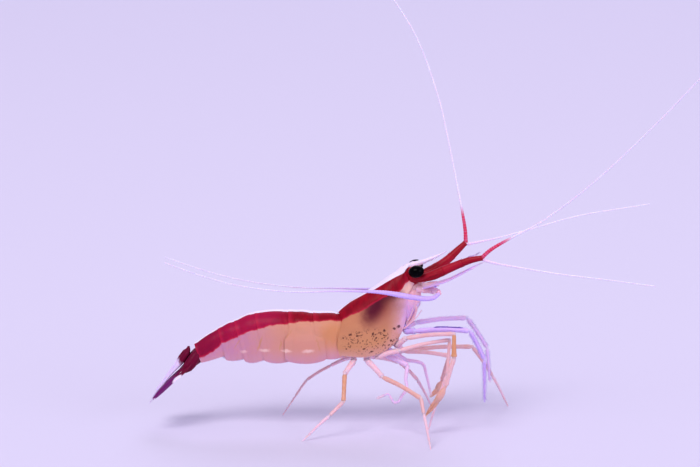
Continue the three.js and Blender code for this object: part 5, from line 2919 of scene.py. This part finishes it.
@dataclass
class Feelers:
    """The four antennule lashes and the two antenna lashes."""

    finishes: dict[Whip, tuple[Material, Slot]]
    courses: tuple[tuple[str, Whip, Rows], ...] = (
        ("antennule_outer_flagellum_right", Whip.OUTER, (
            (20.2, -3.02, 27.62), (21.6, -3.4, 28.95), (24, -3.9, 30.5), (29.6, -5.2, 33.9),
            (37.5, -8, 40.8), (46.5, -11.2, 50.4), (55.5, -14.5, 61),
        )),
        ("antennule_outer_flagellum_left", Whip.OUTER, (
            (17.95, 2.85, 28.9), (17.85, 3, 30.8), (17.4, 3.4, 33.6), (15.5, 5.2, 43.3),
            (13.7, 7, 51.1), (10.4, 9.2, 60), (6, 11.2, 67), (1.6, 13, 72.6),
        )),
        ("antennule_inner_flagellum_right", Whip.INNER, (
            (20.2, -2.95, 27.3), (21.9, -3.05, 26.8), (25.2, -3.8, 26.3), (31.9, -5.5, 25.5),
            (39.5, -7.4, 24.9), (46, -9, 24.3),
        )),
        ("antennule_inner_flagellum_left", Whip.INNER, (
            (18.0, 2.8, 28.6), (20.2, 3, 29), (23.3, 3.4, 29.6), (28, 4.4, 30.7), (35.9, 6, 32.6),
            (47.1, 8.6, 34),
        )),
        ("antenna_flagellum_right", Whip.ANTENNA, (
            (13.6, -3.7, 22.1), (12.9, -4.2, 21.6), (11.5, -4.4, 21.45), (9.2, -4.45, 21.75),
            (4.6, -4.55, 22.5), (-1.5, -5.2, 22.8), (-9, -6.7, 23), (-16.6, -8.2, 24.2),
            (-22.4, -9.4, 26), (-27.8, -10.6, 28.2),
        )),
        ("antenna_flagellum_left", Whip.ANTENNA, (
            (13.6, 3.7, 22.1), (12.9, 4.2, 21.5), (11.5, 4.4, 21.1), (7, 4.5, 21.1),
            (-1.6, 5.6, 21.1), (-9, 7.2, 21), (-16.5, 8.8, 21.7), (-23, 10.4, 23), (-29.4, 12, 24.9),
        )),
    )

    def build(self) -> None:
        """Builds the six feelers."""
        for node, whip, places in self.courses:
            lash = Lash(places, 0.42, 0.9, 8, 200)
            reach = lash.rings * lash.pitch
            made = lash.build(
                node.replace("flagellum", "lash"), lambda share: stepped(whip.value, share * reach),
                lambda share: (share, share * reach, 0), Mark.REACH,
            )
            finish, slot = self.finishes[whip]
            keep(made, finish, slot, node, angle=60)


# ---------------------------------------------------------------- studio


@dataclass(frozen=True)
class Lamp:
    """A soft square light that faces the animal."""

    name: str
    place: Row
    size: float
    power: float
    colour: Colour

    def hang(self) -> None:
        """Adds the light to the scene."""
        data = bpy.data.lights.new(self.name, "AREA")
        data.shape = "SQUARE"
        data.size = self.size * MM
        data.energy = self.power
        data.color = self.colour[:3]
        light = bpy.data.objects.new(self.name, data)
        bpy.context.scene.collection.objects.link(light)
        light.location = at(*self.place)
        light.rotation_mode = "QUATERNION"
        light.rotation_quaternion = (at(0, 0, 16) - light.location).to_track_quat("-Z", "Y")


@dataclass
class Studio:
    """The pale floor, the soft lights and the camera."""

    target: Row = (0.0, 0.0, 30.8)
    distance: float = 400.0
    elevation: float = 10.0
    lens: float = 133.71
    sensor: float = 36.0
    floor_half: float = 6.0  # metres
    floor_finish: Finish = MattFinish("studio_floor", tint(0xD9D3EE))
    lamps: tuple[Lamp, ...] = (
        Lamp("key_light", (-900, -2000, 2500), 1500, 66, tint(0xFFFAF8)),
        Lamp("fill_light", (2200, -1700, 900), 1800, 26, tint(0xF1ECFF)),
        Lamp("back_light", (500, 2600, 2200), 1800, 32, tint(0xEFE8FF)),
    )
    room: Colour = tint(0xF0ECFF)
    room_power: float = 0.5

    def camera(self) -> None:
        """Sets the camera level with the animal's right side, a little above it."""
        data = bpy.data.cameras.new("camera")
        data.lens = self.lens
        data.sensor_width = self.sensor
        data.clip_start = 0.01
        data.clip_end = 50
        camera = bpy.data.objects.new("camera", data)
        bpy.context.scene.collection.objects.link(camera)
        rise = math.radians(self.elevation)
        back = Vector((0, -math.cos(rise), math.sin(rise)))
        camera.location = at(*self.target) + back * self.distance * MM
        camera.rotation_mode = "QUATERNION"
        camera.rotation_quaternion = (-back).to_track_quat("-Z", "Y")
        bpy.context.scene.camera = camera

    def floor(self) -> None:
        """Lays the floor, far enough to fill the view."""
        deselect()
        bpy.ops.mesh.primitive_plane_add(size=self.floor_half * 2)
        floor = bpy.context.object
        floor.name = "studio_floor"
        settle_origin(floor)
        floor.data.materials.append(self.floor_finish.make())

    def build(self) -> None:
        """Sets the camera, floor, lights and the light of the room."""
        self.camera()
        self.floor()
        for lamp in self.lamps:
            lamp.hang()
        world = bpy.data.worlds.new("room")
        world.use_nodes = True
        room = world.node_tree.nodes["Background"]
        room.inputs["Color"].default_value = self.room
        room.inputs["Strength"].default_value = self.room_power
        bpy.context.scene.world = world
        bpy.context.scene.view_settings.view_transform = "Standard"


# ---------------------------------------------------------------- the whole animal


ORANGE_LINE = tint(0xC98E68)
# A pale cream, painted highlight: the crescents of light caught on the belly lobes' lower edges.
CRESCENT_HIGHLIGHT = tint(0xF6D2CC)
STOMACH = tint(0x56122A)

CHEEK_SPOTS = (
    (-1.1, 14.9, 0.2), (0, 15.5, 0.22), (-0.6, 13.2, 0.18), (1.1, 15.4, 0.2), (2.2, 13.3, 0.24),
    (3.4, 12.9, 0.26), (3.5, 15.7, 0.2), (4.0, 15.0, 0.18), (5.3, 16.2, 0.3), (5.4, 15.5, 0.2),
    (6.0, 13.8, 0.18), (6.3, 14.6, 0.2), (6.8, 16.4, 0.34), (7.5, 16.7, 0.34),
)

# Tan flanks, the stomach's shadow, dark specks low down and a pale front.
CARAPACE_SHELL = ShellFinish(
    "carapace_shell", tint(0xC4805F), tint(0xCA8C67), tint(0xD29A90), tint(0xDCA4B0), (5.2, 8.2),
    (
        Spot(4.4, 19.0, 4.2, 4.4, tint(0xAE6C5C), core=0.1, depth=0.75),
        Spot(4.3, 20.0, 3.6, 3.8, tint(0x8E3A38), lean=0.45, core=0.06, depth=0.8),
        Spot(6.2, 21.7, 4.6, 1.5, STOMACH, lean=0.9, core=0.15, depth=0.85),
        Spot(3.8, 19.9, 2.4, 4.3, STOMACH, lean=0.35, core=0.14, depth=0.94),
        Spot(9.6, 18.6, 2.2, 6.0, tint(0xEDC0EE), lean=0.18, core=0.3, depth=0.95),
        Spot(8.9, 22.3, 1.6, 1.3, tint(0xF4C2B4), core=0.2, depth=0.9),
        *(Spot(x, z, size, size * 0.9, SPECK, core=0.45, depth=0.85) for x, z, size in CHEEK_SPOTS),
    ),
    Spot(3.4, 14.4, 5.4, 2.5, SPECK, core=0.6, depth=0.75),
)
# Cream flanks that turn lavender, pale crescents of painted highlight on the lobes' lower edges, and
# orange lines.
BELLY_SHELL = ShellFinish(
    "belly_shell", tint(0xD6947A), tint(0xD29184), tint(0xCA93AA), tint(0xC788A8), (-9.0, -19.0),
    (
        Spot(-2.5, 15.5, 3.4, 3.0, tint(0xD08A58), core=0.2, depth=0.7),
        # Pale crescents low on the lobes: painted highlight where their lower edges catch the light.
        *(Spot(x, 12.95, 1.2, 0.42, CRESCENT_HIGHLIGHT, core=0.2, depth=0.6) for x in (-6.4, -9.8, -13.2)),
        Spot(-16.4, 12.7, 0.8, 0.35, CRESCENT_HIGHLIGHT, core=0.2, depth=0.45),
        Spot(-13.9, 14.0, 0.22, 1.7, ORANGE_LINE, lean=0.35, depth=0.7),
        Spot(-10.75, 13.7, 0.2, 1.3, ORANGE_LINE, lean=0.12, depth=0.7),
        Spot(-9.4, 15.6, 0.2, 1.3, ORANGE_LINE, lean=0.7, depth=0.5),
        Spot(-4.9, 14.0, 0.22, 1.4, ORANGE_LINE, lean=-0.35, depth=0.7),
        Spot(-17.4, 13.9, 0.2, 1.0, ORANGE_LINE, lean=0.6, depth=0.45),
    ),
    wet=Wetness(depth=0.2, reach=0.6),
)
RIDGE = LimbFinish("rostrum_shell", WHITE, tint(0x9A4A78), tint(0xF0DCF8))
FLESH = FleshFinish(
    "trunk_flesh", tint(0xEBC0C4), tint(0xDCA2A0), (Spot(9.3, 24.25, 2.0, 1.6, CRIMSON, core=0.75),)
)
CLEAR_BRISTLE = FleshFinish("clear_bristle", CLEAR, tint(0xCDA8DC))
WARM_BRISTLE = FleshFinish("warm_bristle", tint(0xEBC2B0), tint(0xD79C80))
VIOLET_BRISTLE = FleshFinish("violet_bristle", tint(0x9070D8), tint(0x6448B4))
CRIMSON_BRISTLE = FleshFinish("crimson_bristle", CRIMSON_LIGHT, CRIMSON)

TELSON_SHELL = BladeFinish("telson_shell", TAIL_RED, tint(0xE2CDF8), (0.3, 0.38), 0.999, 0.94)
INNER_SHELL = BladeFinish(
    "inner_blade_shell", TAIL_RED, MAROON, (0.2, 0.5), 0.99, 0.95,
    (Spot(0.45, 0.95, 0.14, 0.5, WHITE, core=0.5),),
)
OUTER_SHELL = BladeFinish(
    "outer_blade_shell", TAIL_RED, MAROON, (0.3, 0.6), 0.99, 0.95,
    (Spot(0.46, 0.95, 0.12, 0.8, WHITE, core=0.6),),
)
STALK_SHELL = BladeFinish(
    "uropod_stalk_shell", TAIL_RED, TAIL_RED, clear_from=0.999, clear_end=0.999, clear=TAIL_RED,
    alpha=0.45,
)
TAIL_JOINT = FleshFinish("tail_joint_skin", TAIL_RED, TAIL_RED)
SWIMMERET_LEAF = BladeFinish(
    "swimmeret_leaf", tint(0xCE98B0), tint(0xCA96C0), clear_end=0.9, turn=(0.2, 0.9),
    clear=tint(0xD8B4DC), wet=Wetness(depth=0.35),
)

EYE_STEM = LimbFinish("eye_stem_skin", tint(0xE8C4D8), tint(0x9C2244), tint(0xC86C90))
ANTENNULE = LimbFinish(
    "antennule_shell", tint(0xB01030), CRIMSON, tint(0x7C0A22), wet=Wetness(depth=0.05, gloss=0.2)
)
ANTENNA_BASE = LimbFinish("antenna_base_shell", tint(0xF8D8F6), tint(0xF0B0A4), tint(0xFADCF0))
SCALE = BladeFinish(
    "clear_scale", tint(0xE8B8E4), tint(0xCFA6F6), (0.0, 0.8), 0.7, 0.92, alpha=0.8,
    wet=Wetness(depth=0.3),
)
MOUTH = LimbFinish("mouth_skin", tint(0xF2C4D8), tint(0xEBA9A0), tint(0xF6DCEC))
MOUTH_LEAF = BladeFinish(
    "mouth_leaf_skin", tint(0xF0B6BE), tint(0xE6B8EE), (0.1, 0.8), wet=Wetness(depth=0.35)
)

RED_LASH = FeelerFinish("red_lash", tint(0xD81438), tint(0xC9A8E8), (3.9, 6.2))
WHITE_LASH = FeelerFinish("white_lash", tint(0xF2D8F6), tint(0xC6B2EC), (0, 8))
LAVENDER_LASH = FeelerFinish("lavender_lash", tint(0xD0B4FF), tint(0xB99AE8), (8, 26))
ORANGE_LEG = LimbFinish("orange_leg_shell", tint(0xEFC8DC), tint(0xD4946C), tint(0xF0C4C4))
PALE_LEG = LimbFinish("pale_leg_shell", tint(0xE3C4F2), tint(0xEBAFA8), tint(0xF4E2FA), 0.3)
BRUSH_LEG = LimbFinish("brush_leg_shell", tint(0xD2B4F4), tint(0x9A7CD8), tint(0xEAD8FA))


class SubAssembly(Protocol):
    """What builds and dresses its own pieces."""

    def build(self) -> None:
        """Builds and dresses the pieces."""


def sub_assemblies() -> tuple[SubAssembly, ...]:
    """Makes the finishes and lays out what they dress.

    Returns:
        The studio and the animal's sub-assemblies, from the shell to the legs.
    """
    hair = CLEAR_BRISTLE.make()
    carapace = Carapace(CARAPACE_SHELL.make(), RIDGE.make(), hair)
    belly = Belly(BELLY_SHELL.make(), hair)
    tail = [finish.make() for finish in (TELSON_SHELL, INNER_SHELL, OUTER_SHELL, STALK_SHELL, TAIL_JOINT)]
    lashes = {
        Whip.OUTER: (RED_LASH.make(), Slot.RED),
        Whip.INNER: (WHITE_LASH.make(), Slot.WHITE),
        Whip.ANTENNA: (LAVENDER_LASH.make(), Slot.WHITE),
    }
    legs = [finish.make() for finish in (ORANGE_LEG, PALE_LEG, BRUSH_LEG, WARM_BRISTLE, VIOLET_BRISTLE)]
    return (
        Studio(),
        carapace,
        belly,
        Trunk(FLESH.make(), carapace, belly),
        TailFan(*tail, hair),
        Swimmerets(SWIMMERET_LEAF.make(), hair, belly),
        Eyes(CorneaFinish("black_cornea").make(), EYE_STEM.make()),
        Antennules(ANTENNULE.make(), CRIMSON_BRISTLE.make()),
        Antennae(ANTENNA_BASE.make(), SCALE.make(), hair),
        Mouth(MOUTH.make(), MOUTH_LEAF.make(), hair),
        Feelers(lashes),
        Limbs(*legs),
    )


def main() -> None:
    """Builds the studio and the animal, and logs each sub-assembly as it is built."""
    logging.basicConfig(level=logging.INFO, format="%(message)s", force=True)
    random.seed(SEED)
    for part in sub_assemblies():
        log.info("%s:", type(part).__name__)
        part.build()


if __name__ == "__main__":
    main()
